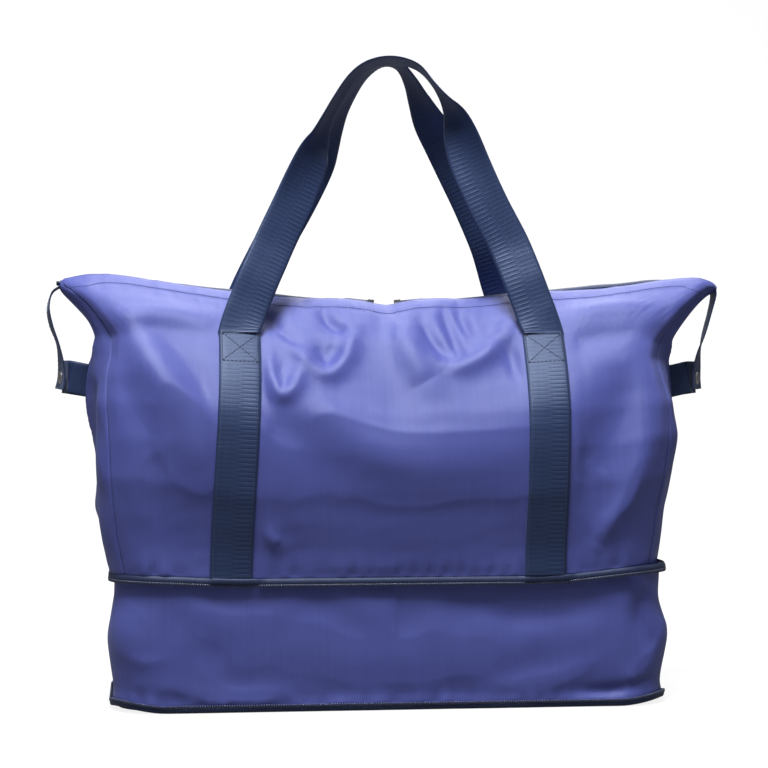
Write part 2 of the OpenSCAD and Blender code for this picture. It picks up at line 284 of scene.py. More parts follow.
def thick_cloth(name, grid, thickness, material, places=None, around=False):
    """A closed sheet with its outer face on the grid. around joins its last column to its first."""
    rows, cols, _ = grid.shape
    inner = grid - grid_normals(grid, around) * thickness
    size = rows * cols
    places = grid_places(grid) if places is None else places
    out = grid_faces(rows, cols, around)
    back = grid_faces(rows, cols, around, first=size)[:, ::-1]
    top = (rows - 1) * cols
    if around:
        low_edge = np.arange(cols)
        low_next = (low_edge + 1) % cols
        edge = np.concatenate([low_edge, top + low_next])
        turn = np.concatenate([low_next, top + low_edge])
    else:
        left_edge = np.arange(rows - 2, 0, -1) * cols
        right_edge = np.arange(1, rows) * cols + cols - 1
        edge = np.concatenate([np.arange(cols), right_edge, top + np.arange(cols - 2, -1, -1), left_edge])
        turn = np.roll(edge, -1)
    rim = np.stack([turn, edge, edge + size, turn + size], axis=1)
    points = np.vstack([grid.reshape(-1, 3), inner.reshape(-1, 3)])
    cloth = np.vstack([places.reshape(-1, 3)] * 2)
    return new_piece(name, points, np.vstack([out, back, rim]), material, cloth)


def capped_faces(rows, cols):
    """Faces of a closed solid through rows of loops, with a cap at each end."""
    faces = grid_faces(rows, cols, around=True).tolist()
    faces.append(list(range(cols))[::-1])
    faces.append([(rows - 1) * cols + j for j in range(cols)])
    return faces


def swept(name, loops, material, cloth=None):
    """A closed solid through a row of loops, all with the same number of points."""
    rows, cols, _ = loops.shape
    return new_piece(name, loops, capped_faces(rows, cols), material, cloth, flat_caps=True)


def many(name, shape, faces, places, material):
    """Copies of one small shape in one mesh. places holds a 3 by 4 matrix for each."""
    points = np.einsum("nij,pj->npi", places[:, :, :3], shape) + places[:, None, :, 3]
    count = len(shape)
    all_faces = [[v + k * count for v in f] for k in range(len(places)) for f in faces]
    return new_piece(name, points, all_faces, material)


def finish_piece(piece, body, slot, *nodes):
    """Ties a piece to its body and hides the frame nodes that it stands for."""
    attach(piece, body)
    if nodes:
        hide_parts(*nodes)
    return piece


# ---------------------------------------------------------------- finishes


def socket(group, name, kind, way, default=None):
    made = group.interface.new_socket(name, in_out=way, socket_type=kind)
    if default is not None:
        made.default_value = default
    return made


def start_group(name):
    group = bpy.data.node_groups.new(name, "ShaderNodeTree")
    entry = group.nodes.new("NodeGroupInput")
    out = group.nodes.new("NodeGroupOutput")
    return group, entry, out


def sum_node(tree, kind, first, second=None, third=None):
    """A Math node with links or plain numbers on its inputs, and its result."""
    node = tree.nodes.new("ShaderNodeMath")
    node.operation = kind
    for slot_at, value in enumerate((first, second, third)):
        if value is None:
            continue
        if isinstance(value, (int, float)):
            node.inputs[slot_at].default_value = value
        else:
            tree.links.new(value, node.inputs[slot_at])
    return node.outputs[0]


def noise_node(tree, vector, scale, detail=3.0):
    node = tree.nodes.new("ShaderNodeTexNoise")
    node.inputs["Scale"].default_value = scale
    node.inputs["Detail"].default_value = detail
    tree.links.new(vector, node.inputs["Vector"])
    return node.outputs["Fac"]


def stretched(tree, place, scale, rotation=(0.0, 0.0, 0.0)):
    """The place, turned and scaled by a Mapping node."""
    node = tree.nodes.new("ShaderNodeMapping")
    node.inputs["Rotation"].default_value = rotation
    node.inputs["Scale"].default_value = scale
    tree.links.new(place, node.inputs["Vector"])
    return node.outputs[0]


def bump_node(tree, height, strength, distance):
    node = tree.nodes.new("ShaderNodeBump")
    node.inputs["Strength"].default_value = strength
    node.inputs["Distance"].default_value = distance
    tree.links.new(height, node.inputs["Height"])
    return node


def weave_group():
    """Over and under of a woven cloth, and the uneven sheen of its threads."""
    if "Weave" in bpy.data.node_groups:
        return bpy.data.node_groups["Weave"]
    group, entry, out = start_group("Weave")
    socket(group, "Place", "NodeSocketVector", "INPUT")
    socket(group, "Threads per metre", "NodeSocketFloat", "INPUT", 2600.0)
    socket(group, "Streaks", "NodeSocketFloat", "INPUT", 0.5)
    socket(group, "Height", "NodeSocketFloat", "OUTPUT")
    socket(group, "Sheen", "NodeSocketFloat", "OUTPUT")
    parts = group.nodes.new("ShaderNodeSeparateXYZ")
    group.links.new(entry.outputs["Place"], parts.inputs[0])
    turns = sum_node(group, "MULTIPLY", entry.outputs["Threads per metre"], 2 * math.pi)
    warp = sum_node(group, "SINE", sum_node(group, "MULTIPLY", parts.outputs["X"], turns))
    weft = sum_node(group, "SINE", sum_node(group, "MULTIPLY", parts.outputs["Y"], turns))
    cross = sum_node(group, "MULTIPLY", warp, weft)
    group.links.new(sum_node(group, "MULTIPLY_ADD", cross, 0.5, 0.5), out.inputs["Height"])
    lines = noise_node(group, stretched(group, entry.outputs["Place"], (420.0, 9.0, 1.0)), 1.0, 2.0)
    streak = sum_node(group, "MULTIPLY", sum_node(group, "SUBTRACT", lines, 0.5), entry.outputs["Streaks"])
    group.links.new(sum_node(group, "ADD", streak, 0.5), out.inputs["Sheen"])
    return group


def dust_group():
    """Faint lint and handling marks."""
    if "Handling" in bpy.data.node_groups:
        return bpy.data.node_groups["Handling"]
    group, entry, out = start_group("Handling")
    socket(group, "Place", "NodeSocketVector", "INPUT")
    socket(group, "Colour", "NodeSocketColor", "INPUT")
    socket(group, "Amount", "NodeSocketFloat", "INPUT", 0.1)
    socket(group, "Colour", "NodeSocketColor", "OUTPUT")
    socket(group, "Marks", "NodeSocketFloat", "OUTPUT")
    broad = noise_node(group, entry.outputs["Place"], 14.0, 4.0)
    fine = noise_node(group, entry.outputs["Place"], 900.0, 2.0)
    marks = sum_node(group, "MULTIPLY", broad, fine)
    group.links.new(marks, out.inputs["Marks"])
    mix = group.nodes.new("ShaderNodeMix")
    mix.data_type = "RGBA"
    mix.blend_type = "MIX"
    group.links.new(sum_node(group, "MULTIPLY", marks, entry.outputs["Amount"]), mix.inputs[0])
    group.links.new(entry.outputs["Colour"], mix.inputs[6])
    mix.inputs[7].default_value = (0.55, 0.58, 0.66, 1.0)
    group.links.new(mix.outputs[2], out.inputs["Colour"])
    return group


def place_node(tree, laid):
    """Where a point lies on the flat material, or in the piece's own space."""
    if laid:
        node = tree.nodes.new("ShaderNodeAttribute")
        node.attribute_name = "cloth"
        return node.outputs["Vector"]
    return tree.nodes.new("ShaderNodeTexCoord").outputs["Object"]


def start_material(name):
    made = bpy.data.materials.new(name)
    made.use_nodes = True
    return made, made.node_tree, made.node_tree.nodes["Principled BSDF"]


def marked(tree, surface, place, amount, roughness, spread):
    """Lint and handling marks on a surface's colour and roughness. Returns the group's node."""
    marks = tree.nodes.new("ShaderNodeGroup")
    marks.node_tree = dust_group()
    marks.inputs["Amount"].default_value = amount
    tree.links.new(place, marks.inputs["Place"])
    tree.links.new(marks.outputs["Colour"], surface.inputs["Base Color"])
    rough = sum_node(tree, "MULTIPLY_ADD", marks.outputs["Marks"], spread, roughness)
    tree.links.new(rough, surface.inputs["Roughness"])
    return marks


def woven(
    name, colour, shade, threads, roughness, spread, depth, sheen, streaks,
    laid=True, lint=0.06, gloss=0.5, tint=None, crinkle=0.0,
):
    """A woven finish: a base colour that varies with the sheen of its threads, and a weave in relief."""
    if name in bpy.data.materials:
        return bpy.data.materials[name]
    made, tree, surface = start_material(name)
    surface.inputs["Specular IOR Level"].default_value = gloss
    surface.inputs["Sheen Weight"].default_value = sheen
    surface.inputs["Sheen Roughness"].default_value = 0.35
    if tint is not None:
        surface.inputs["Specular Tint"].default_value = (*tint, 1.0)
    surface.inputs["Sheen Tint"].default_value = (0.60, 0.68, 1.0, 1.0)
    place = place_node(tree, laid)
    weave = tree.nodes.new("ShaderNodeGroup")
    weave.node_tree = weave_group()
    weave.inputs["Threads per metre"].default_value = threads
    weave.inputs["Streaks"].default_value = streaks
    tree.links.new(place, weave.inputs["Place"])
    ramp = tree.nodes.new("ShaderNodeValToRGB")
    ramp.color_ramp.elements[0].position = 0.25
    ramp.color_ramp.elements[0].color = (*[c * shade for c in colour], 1)
    ramp.color_ramp.elements[1].position = 0.75
    ramp.color_ramp.elements[1].color = (*colour, 1)
    tree.links.new(weave.outputs["Sheen"], ramp.inputs[0])
    marks = marked(tree, surface, place, lint, roughness, spread)
    tree.links.new(ramp.outputs[0], marks.inputs["Colour"])
    bump = bump_node(tree, weave.outputs["Height"], 0.6, depth)
    if crinkle:
        slack = stretched(tree, place, (22.0, 9.0, 14.0), (0.0, 0.0, 0.6))
        creases = bump_node(tree, noise_node(tree, slack, 1.0, 5.0), 0.5, crinkle)
        tree.links.new(creases.outputs[0], bump.inputs["Normal"])
    tree.links.new(bump.outputs[0], surface.inputs["Normal"])
    return made


def nylon():
    return woven(
        "satin_nylon", colours().nylon, shade=0.90, threads=2200.0, roughness=0.36, spread=0.24,
        depth=0.00008, sheen=0.07, streaks=0.9, tint=(0.80, 0.86, 1.0), crinkle=0.0022,
    )


def webbing():
    return woven(
        "navy_webbing", colours().webbing, shade=0.70, threads=900.0, roughness=0.40, spread=0.20,
        depth=0.00012, sheen=0.25, streaks=0.7, lint=0.02, gloss=0.6, tint=(0.62, 0.74, 1.0),
    )


def zip_tape():
    return woven(
        "zip_tape", colours().tape, shade=0.6, threads=1400.0, roughness=0.42, spread=0.20, depth=0.00010,
        sheen=0.06, streaks=1.2, lint=0.02, gloss=0.6, tint=(0.62, 0.74, 1.0),
    )


def twisted(name, colour, shade, sheen):
    return woven(
        name, colour, shade, threads=3000.0, roughness=0.50, spread=0.20, depth=0.00005,
        sheen=sheen, streaks=1.0, laid=False,
    )


def hem_thread():
    return twisted("hem_thread", [c * 0.62 for c in colours().nylon], 0.7, 0.20)


def thread():
    return twisted("sewing_thread", colours().thread, 0.6, 0.30)


def solid_finish(name, colour, metallic, roughness, spread, scratch, coat=0.0):
    """A hard finish with fine scratches and handling marks."""
    if name in bpy.data.materials:
        return bpy.data.materials[name]
    made, tree, surface = start_material(name)
    surface.inputs["Metallic"].default_value = metallic
    surface.inputs["Coat Weight"].default_value = coat
    place = place_node(tree, False)
    marks = marked(tree, surface, place, 0.08, roughness, spread)
    marks.inputs["Colour"].default_value = (*colour, 1)
    stretch = stretched(tree, place, (300.0, 2600.0, 300.0))
    bump = bump_node(tree, noise_node(tree, stretch, 1.0, 3.0), scratch, 0.0001)
    tree.links.new(bump.outputs[0], surface.inputs["Normal"])
    return made


def nickel():
    return solid_finish("nickel", colours().metal, 1.0, 0.22, 0.30, 0.25)


def moulded_teeth():
    return solid_finish("moulded_teeth", colours().teeth, 0.0, 0.35, 0.20, 0.15, coat=0.2)


def board():
    return solid_finish("stiffener_board", (0.20, 0.19, 0.18), 0.0, 0.60, 0.20, 0.30)


def pale_floor():
    """It looks pale to the camera alone, so it throws little light back up, and is clear from behind."""
    made, tree, surface = start_material("pale_floor")
    surface.inputs["Roughness"].default_value = 0.8
    surface.inputs["Emission Color"].default_value = (1, 1, 1, 1)
    seen = tree.nodes.new("ShaderNodeLightPath").outputs["Is Camera Ray"]
    tree.links.new(sum_node(tree, "MULTIPLY", seen, 0.86), surface.inputs["Emission Strength"])
    behind = tree.nodes.new("ShaderNodeNewGeometry").outputs["Backfacing"]
    tree.links.new(sum_node(tree, "SUBTRACT", 1.0, behind), surface.inputs["Alpha"])
    place = place_node(tree, False)
    ramp = tree.nodes.new("ShaderNodeValToRGB")
    ramp.color_ramp.elements[0].color = (0.13, 0.13, 0.13, 1)
    ramp.color_ramp.elements[1].color = (0.15, 0.15, 0.15, 1)
    tree.links.new(noise_node(tree, place, 6.0), ramp.inputs[0])
    tree.links.new(ramp.outputs[0], surface.inputs["Base Color"])
    return made


# ---------------------------------------------------------------- the shape of the upper body

# level up the panel, half length to the left and to the right, half depth, corner radius to the left
# and to the right
SHELL = [
    (0.000, 257, 250, 99, 46, 46), (0.100, 264, 254, 100, 47, 47), (0.200, 268, 257, 103, 48, 48),
    (0.320, 271, 264, 105, 48, 48), (0.450, 272, 269, 102, 47, 47), (0.570, 274, 270, 95, 46, 47),
    (0.660, 273, 266, 86.5, 45, 50), (0.720, 269, 264, 80, 44, 56), (0.790, 268, 273, 71, 42, 62),
    (0.850, 279, 289, 62, 40, 58), (0.910, 291, 304, 48, 34, 46), (0.960, 303, 316, 33, 25, 31),
    (0.985, 306, 323, 23, 16, 20), (1.000, 304, 323, 15, 11, 13),
]
# share of a panel's and a gusset's half width that is straight, before its corner starts
STRAIGHT_SHARE = 0.75
GUSSET_STRAIGHT = 0.5
# height of the seam between the upper body and the drop zip
SEAM = 119.4
# how far the belly swells, and over what height
BELLY = 11.5
BELLY_REACH = 62
# half depth beyond which the belly is held back
BELLY_LIMIT = 109.5
# how far the rim stands above or below its even line
RIM_WAVE = [
    (-330, -2.0), (-305, -1.5), (-285, 1.5), (-250, 2.5), (-173, -1.3), (-108, -3.0), (-80, -1.4), (-44, 2.2),
    (-24, 2.6), (-10, 0.6), (0, 0.0), (10, 0.8), (24, 3.0), (46, 2.6), (75, -1.2), (102, -2.0), (140, 0.5),
    (169, -2.5), (208, -4.0), (250, -2.5), (285, 1.5), (303, 4.5), (316, 3.0), (326, -2.0), (332, -4.0),
]
LEG_HALF = 19


def even_rim(x):
    return 369 + 0.1 * np.abs(x) - 0.002433 * np.maximum(np.abs(x) - 250, 0) ** 2


def rim_height(x):
    return even_rim(x) + table(x, RIM_WAVE, 1)


def seam_rise(x, y):
    """How much the drop zip climbs towards the corners. The back, where its slider runs, stays level."""
    side = smooth((np.abs(x) - 130) / 120)
    lift = np.where(x < 0, 4.0, 9.0)
    return side * lift * (1 - smooth((y - 10) / 60))


# Folds of the front panel: points (x, z), half width and height.
FRONT_FOLDS = [
    # ridge from the left shoulder to the top of the left box
    ([(-262, 350), (-215, 356), (-160, 352)], 10, 2.6),
    ([(-262, 338), (-215, 342), (-165, 338)], 10, -0.9),
    # long diagonal from the left shoulder down
    ([(-262, 352), (-225, 312), (-190, 262), (-168, 215)], 19, 5.0),
    ([(-252, 276), (-206, 240), (-158, 214)], 24, 3.4),
    ([(-268, 318), (-245, 280), (-215, 232)], 20, -4.5),
    ([(-215, 340), (-180, 300), (-164, 262)], 12, -2.0),
    # loops that hang from the left box
    ([(-120, 322), (-114, 296), (-104, 281), (-92, 290), (-84, 312)], 8, 3.4),
    ([(-98, 345), (-88, 326), (-64, 302), (-44, 318), (-36, 344)], 9, 3.6),
    ([(-101, 344), (-92, 334), (-86, 328)], 6, -3.0),
    ([(-64, 366), (-56, 352), (-42, 343)], 6, -3.4),
    ([(-120, 368), (-108, 352), (-98, 346)], 9, -3.6),
    ([(-66, 330), (-62, 316), (-50, 330)], 9, -2.2),
    # darts right of the middle
    ([(30, 352), (38, 335), (51, 315)], 7, -3.6),
    ([(50, 366), (56, 345), (62, 322)], 6, -3.2),
    ([(64, 368), (70, 350), (74, 338)], 5, -2.6),
    ([(42, 318), (60, 310), (88, 322), (112, 350)], 9, 3.4),
    ([(6, 350), (18, 318), (30, 296)], 16, 4.0),
    ([(94, 344), (108, 322), (118, 296)], 9, -2.4),
    # broad diagonal across the middle
    ([(-112, 300), (-70, 268), (-22, 232), (20, 214)], 22, 4.4),
    ([(-118, 258), (-80, 232), (-36, 206)], 22, -2.6),
    ([(-60, 236), (0, 226), (70, 222), (118, 230)], 20, 3.0),
    ([(-100, 196), (0, 186), (110, 190)], 26, -2.4),
    ([(-124, 168), (-116, 158), (-106, 150)], 7, 2.2),
    # right side
    ([(165, 352), (205, 362), (250, 360)], 12, 3.2),
    ([(165, 330), (205, 338), (248, 336)], 12, -1.8),
    ([(262, 364), (258, 345), (254, 322)], 6, -3.0),
    ([(240, 330), (208, 276), (176, 214)], 24, -4.8),
    ([(250, 262), (226, 216), (206, 172)], 16, 3.2),
    ([(214, 196), (198, 172), (186, 150)], 9, 2.6),
]
# Folds of the back panel, which hangs a little more evenly.
BACK_FOLDS = [
    ([(-258, 352), (-214, 300), (-180, 236)], 18, 5.4),
    ([(-262, 322), (-236, 276), (-212, 228)], 18, -3.8),
    ([(262, 350), (222, 306), (186, 250)], 18, 5.0),
    ([(266, 316), (240, 270), (214, 222)], 20, -4.0),
    ([(-112, 352), (-70, 300), (-20, 276), (40, 300), (108, 350)], 14, 3.6),
    ([(-100, 364), (-60, 330), (-20, 316)], 10, -2.8),
    ([(98, 366), (62, 332), (34, 318)], 9, -2.8),
    ([(-110, 250), (-40, 222), (50, 228), (116, 256)], 20, 3.4),
    ([(-116, 200), (-10, 182), (112, 204)], 24, -2.6),
    ([(20, 368), (16, 340), (4, 318)], 8, -2.6),
]
GUSSET_FOLDS = [
    ([(-34, 336), (-14, 300), (-10, 250)], 12, 4.2),
    ([(36, 338), (16, 300), (10, 246)], 12, 3.8),
    ([(0, 352), (0, 318)], 10, -3.4),
    ([(-62, 300), (-40, 258), (-30, 200)], 15, -3.0),
    ([(60, 298), (42, 250), (34, 196)], 15, -3.2),
    ([(-4, 282), (4, 240), (-6, 190), (2, 150)], 8, -2.6),
    ([(-40, 196), (0, 182), (42, 192)], 14, 2.2),
]


def fold_heights(a, b, folds):
    """Height of the folds over the plane of a and b, in millimetres."""
    total = np.zeros(a.shape)
    for line, half_width, height in folds:
        way, _ = curve_through(line, 4.0)
        best = np.full(a.shape, 1e9)
        share = np.zeros(a.shape)
        for k, point in enumerate(way):
            distance = (a - point[0]) ** 2 + (b - point[1]) ** 2
            nearer = distance < best
            best = np.where(nearer, distance, best)
            share = np.where(nearer, k / max(len(way) - 1, 1), share)
        ends = 0.25 + 0.75 * np.sin(math.pi * np.clip(share, 0.02, 0.98)) ** 0.6
        tip = half_width * 0.45
        away = np.sqrt(best + tip * tip) - tip
        total += height * ends * np.exp(-((away / half_width) ** 1.25) * 1.5)
    return total * 1.9


def under_webbing(x, z):
    """1 where webbing is sewn on and holds the panel flat, else 0."""
    off = np.abs(np.abs(x) - LEG_OFFSET - 2)
    return (1 - smooth((off - LEG_HALF) / 14)) * smooth((352 - z) / 10)


def panel_grid(side, cols=241, rows=112):
    """The front (side -1) or back (side 1) panel. Rows run left to right as seen from outside."""
    u = np.linspace(-1, 1, cols)[None, :]
    v = np.linspace(0, 1, rows)[:, None]
    u = u * -side if side > 0 else u
    half = np.where(u < 0, table(v, SHELL, 1), table(v, SHELL, 2))
    depth = table(v, SHELL, 3)
    corner = np.where(u < 0, table(v, SHELL, 4), table(v, SHELL, 5))
    turn = np.maximum(np.abs(u) - STRAIGHT_SHARE, 0) / (1 - STRAIGHT_SHARE) * math.radians(45)
    x = np.sign(u) * (np.minimum(np.abs(u) / STRAIGHT_SHARE, 1) * (half - corner) + corner * np.sin(turn))
    y = side * (depth - corner + corner * np.cos(turn)) * np.ones_like(x)
    low = SEAM + seam_rise(x, y)
    z = low + (rim_height(x) - low) * v
    grid = np.stack([x, y, z], axis=-1)
    folds = FRONT_FOLDS if side < 0 else BACK_FOLDS
    held = under_webbing(x, z)
    edges = smooth(v / 0.05) * smooth((1 - v) / 0.09) * (1 - smooth((np.abs(u) - 0.9) / 0.1) * 0.7)
    lift = fold_heights(x, z, folds) * (1 - 0.8 * held) * (1 - smooth((np.abs(u) - 0.70) / 0.26))
    belly = 214 + 84 * np.clip(np.abs(x) / 210, 0, 1.2) ** 1.6
    lift += BELLY * np.exp(-(((z - belly) / BELLY_REACH) ** 2)) * (1 - smooth((np.abs(x) - 205) / 60) * 0.7)
    lift += 0.45 * ripple(x, z, 62, 3 + side) * (1 - 0.7 * held)
    lift += 0.07 * ripple(x, z, 14, 8 + side) * (1 - held)
    lift = lift * edges
    drop = rim_height(x) - z
    pucker = ripple(x, z * 0.2, 7, 21 + side)
    lift += 0.35 * smooth((HEM + 1.5 - drop) / 2.0) - 0.6 * np.exp(-(((drop - HEM) / 1.5) ** 2))
    lift += 0.45 * pucker * np.exp(-(((drop - HEM) / 9.0) ** 2))
    rise = z - low
    lift += 0.7 * ripple(x, z * 0.15, 9, 33 + side) * np.exp(-((rise / 13.0) ** 2)) * smooth(rise / 2.5)
    lift -= 0.8 * smooth((np.abs(u) - 0.985) / 0.015) * smooth((1 - v) / 0.03)
    grid = grid + grid_normals(grid) * lift[..., None]
    out = np.abs(grid[..., 1])
    grid[..., 1] = side * np.where(out > BELLY_LIMIT, BELLY_LIMIT + (out - BELLY_LIMIT) * 0.4, out)
    return grid


def gusset_grid(side, cols=97, rows=112):
    """The left (side -1) or right (side 1) gusset. Rows run left to right as seen from outside."""
    u = np.linspace(-1, 1, cols)[None, :] * side
    v = np.linspace(0, 1, rows)[:, None]
    half = table(v, SHELL, 1 if side < 0 else 2)
    depth = table(v, SHELL, 3)
    corner = table(v, SHELL, 4 if side < 0 else 5)
    turn = np.maximum(np.abs(u) - GUSSET_STRAIGHT, 0) / (1 - GUSSET_STRAIGHT) * math.radians(45)
    x = half - corner + corner * np.cos(turn)
    y = np.sign(u) * (np.minimum(np.abs(u) / GUSSET_STRAIGHT, 1) * (depth - corner) + corner * np.sin(turn))
    x = side * x
    low = SEAM + seam_rise(x, y)
    z = low + (rim_height(x) - low) * v
    grid = np.stack([x * np.ones_like(z), y * np.ones_like(z), z], axis=-1)
    edges = smooth(v / 0.05) * smooth((1 - v) / 0.10) * (1 - smooth((np.abs(u) - 0.8) / 0.2))
    lift = fold_heights(y * side + 0 * z, z, GUSSET_FOLDS) + 0.8 * ripple(y, z, 34, 50 + side)
    lift = lift * edges
    rise = z - low
    lift += 0.6 * ripple(y, z * 0.15, 9, 61 + side) * np.exp(-((rise / 13.0) ** 2)) * smooth(rise / 2.5)
    lift -= 0.8 * smooth((np.abs(u) - 0.97) / 0.03) * smooth((1 - v) / 0.03)
    return grid + grid_normals(grid) * lift[..., None]


FORMED = {}


def upper_grids():
    """The four cloth pieces of the upper body, with their shared edges brought together."""
    if FORMED:
        return FORMED
    front, back = panel_grid(-1), panel_grid(1)
    left, right = gusset_grid(-1), gusset_grid(1)
    for panel, gusset in ((front, right), (right, back), (back, left), (left, front)):
        shared = (panel[:, -1] + gusset[:, 0]) / 2
        panel[:, -1] = shared
        gusset[:, 0] = shared
    FORMED.update(front=front * MM, back=back * MM, left=left * MM, right=right * MM)
    return FORMED


def surface_of(grid):
    rows, cols, _ = grid.shape
    return BVHTree.FromPolygons(grid.reshape(-1, 3).tolist(), grid_faces(rows, cols).tolist())


# ---------------------------------------------------------------- webbing


def webbing_piece(name, centre, across, facing, width, thickness, material, ribs=0.26, cup=None, cols=15):
    """A ribbed strip along a line of points. across and facing are unit vectors at each point."""
    rows = len(centre)
    w = np.linspace(-0.5, 0.5, cols)
    run = distances(centre)
    pitch = sizes().rib_pitch
    split = 0.04
    strong = w > split
    phase = run[:, None] / pitch + np.where(strong, 0.0, 0.5)[None, :]
    near = np.abs(phase - np.round(phase))
    edge = np.clip((0.5 - np.abs(w)) / 0.09, 0, 1)
    strength = np.where(strong, 1.0, 0.4) * edge
    rib = -np.exp(-((near / 0.12) ** 2)) * ribs * MM * strength[None, :]
    stitched = -0.28 * MM * np.exp(-(((0.5 - np.abs(w)) * width - 0.0028) / 0.0007) ** 2)
    half = thickness / 2 * (0.35 + 0.65 * np.clip((0.5 - np.abs(w)) / 0.05, 0, 1) ** 0.5)
    cup = np.zeros(rows) if cup is None else cup
    bow = cup[:, None] * ((w * 2) ** 2)[None, :]
    middle = centre[:, None] + across[:, None] * (w * width)[None, :, None] + facing[:, None] * bow[..., None]
    front = middle + facing[:, None] * (half[None, :] + rib + stitched[None, :])[..., None]
    back = middle - facing[:, None] * (half[None, :] - rib + stitched[None, :])[..., None]
    loops = np.concatenate([front, back[:, ::-1]], axis=1)
    cloth = np.zeros_like(loops)
    cloth[:, :cols, 0] = w * width
    cloth[:, cols:, 0] = w[::-1] * width
    cloth[..., 1] = run[:, None]
    return swept(name, loops[:, ::-1], material, cloth[:, ::-1].reshape(-1, 3))


def stitch_shape():
    """One stitch, lying along X with its middle at the origin and its height along Z."""
    ends = [(-0.5, 0.25), (-0.3, 0.9), (0.0, 1.0), (0.3, 0.9), (0.5, 0.25)]
    ring = 6
    points = []
    for x, size in ends:
        for k in range(ring):
            turn = 2 * math.pi * k / ring
            points.append((x, 0.5 * size * math.cos(turn), 0.5 * size * math.sin(turn)))
    faces = grid_faces(len(ends), ring, around=True)[:, ::-1].tolist()
    faces.append(list(range(ring)))
    faces.append([(len(ends) - 1) * ring + k for k in range(ring)][::-1])
    return np.array(points), faces


def stitch_places(points, facing, length, gap=0.0007, gauge=0.0007):
    """A matrix for each stitch of a row of stitches along a line that lies on a surface."""
    run = distances(points)
    if run[-1] < length:
        return np.zeros((0, 3, 4))
    count = max(1, int(run[-1] / (length + gap)))
    starts = np.linspace(0, run[-1] - length, count)
    place = []
    for s in starts:
        a, b = between(s, run, points), between(s + length, run, points)
        normal = between(s + length / 2, run, facing)
        along = b - a
        x = along / max(np.linalg.norm(along), 1e-9)
        z = unit(normal - x * (normal @ x))
        y = np.cross(z, x)
        size = np.linalg.norm(along)
        matrix = np.stack([x * size, y * gauge, z * gauge * 0.8, (a + b) / 2], axis=1)
        place.append(matrix)
    return np.array(place)


def thread_piece(name, rows, material):
    shape, faces = stitch_shape()
    places = np.concatenate([r for r in rows if len(r)])
    return many(name, shape, faces, places, material)


RUNS = {}


def run_frames(side, leg):
    """Line, width direction and facing of webbing sewn on a panel. side -1: the front, leg -1: the left."""
    key = (side, leg)
    if key in RUNS:
        return RUNS[key]
    grid = upper_grids()["front" if side < 0 else "back"]
    surface = surface_of(grid)
    z = np.linspace(121.0, 343.0, 277)
    # the webbing hangs a little out of true
    foot = {(-1, -1): -149.0, (-1, 1): 136.5}.get(key, leg * LEG_OFFSET)
    x = foot + (leg * LEG_OFFSET - foot) * smooth((z - 120) / 215)
    half = sizes().webbing_width / 2
    edges = []
    for off in (-half, 0.0, half):
        line = []
        for xx, zz in zip(x, z):
            origin = Vector((xx * MM + off, side * 0.3, zz * MM))
            hit = surface.ray_cast(origin, Vector((0, -side, 0)))[0]
            line.append(hit.y if hit is not None else side * 0.1)
        edges.append(soften(np.array(line), 5))
    lie = soften((edges[0] + edges[1] + edges[2]) / 3, 4)
    out = np.max([side * e for e in edges], axis=0)
    off = soften(np.maximum(out, side * lie), 6) + (0.5 * MM + sizes().webbing_thickness / 2)
    centre = np.stack([x * MM, side * off, z * MM], axis=1)
    slope = soften((edges[2] - edges[0]) / (2 * half), 12)
    across = unit(np.stack([np.ones_like(slope), slope, np.zeros_like(slope)], axis=1)) * -side
    along = unit(np.gradient(centre, axis=0))
    across = square_to(across, along)
    facing = np.cross(across, along)
    RUNS[key] = (centre, across, facing)
    return RUNS[key]


# ---------------------------------------------------------------- pieces


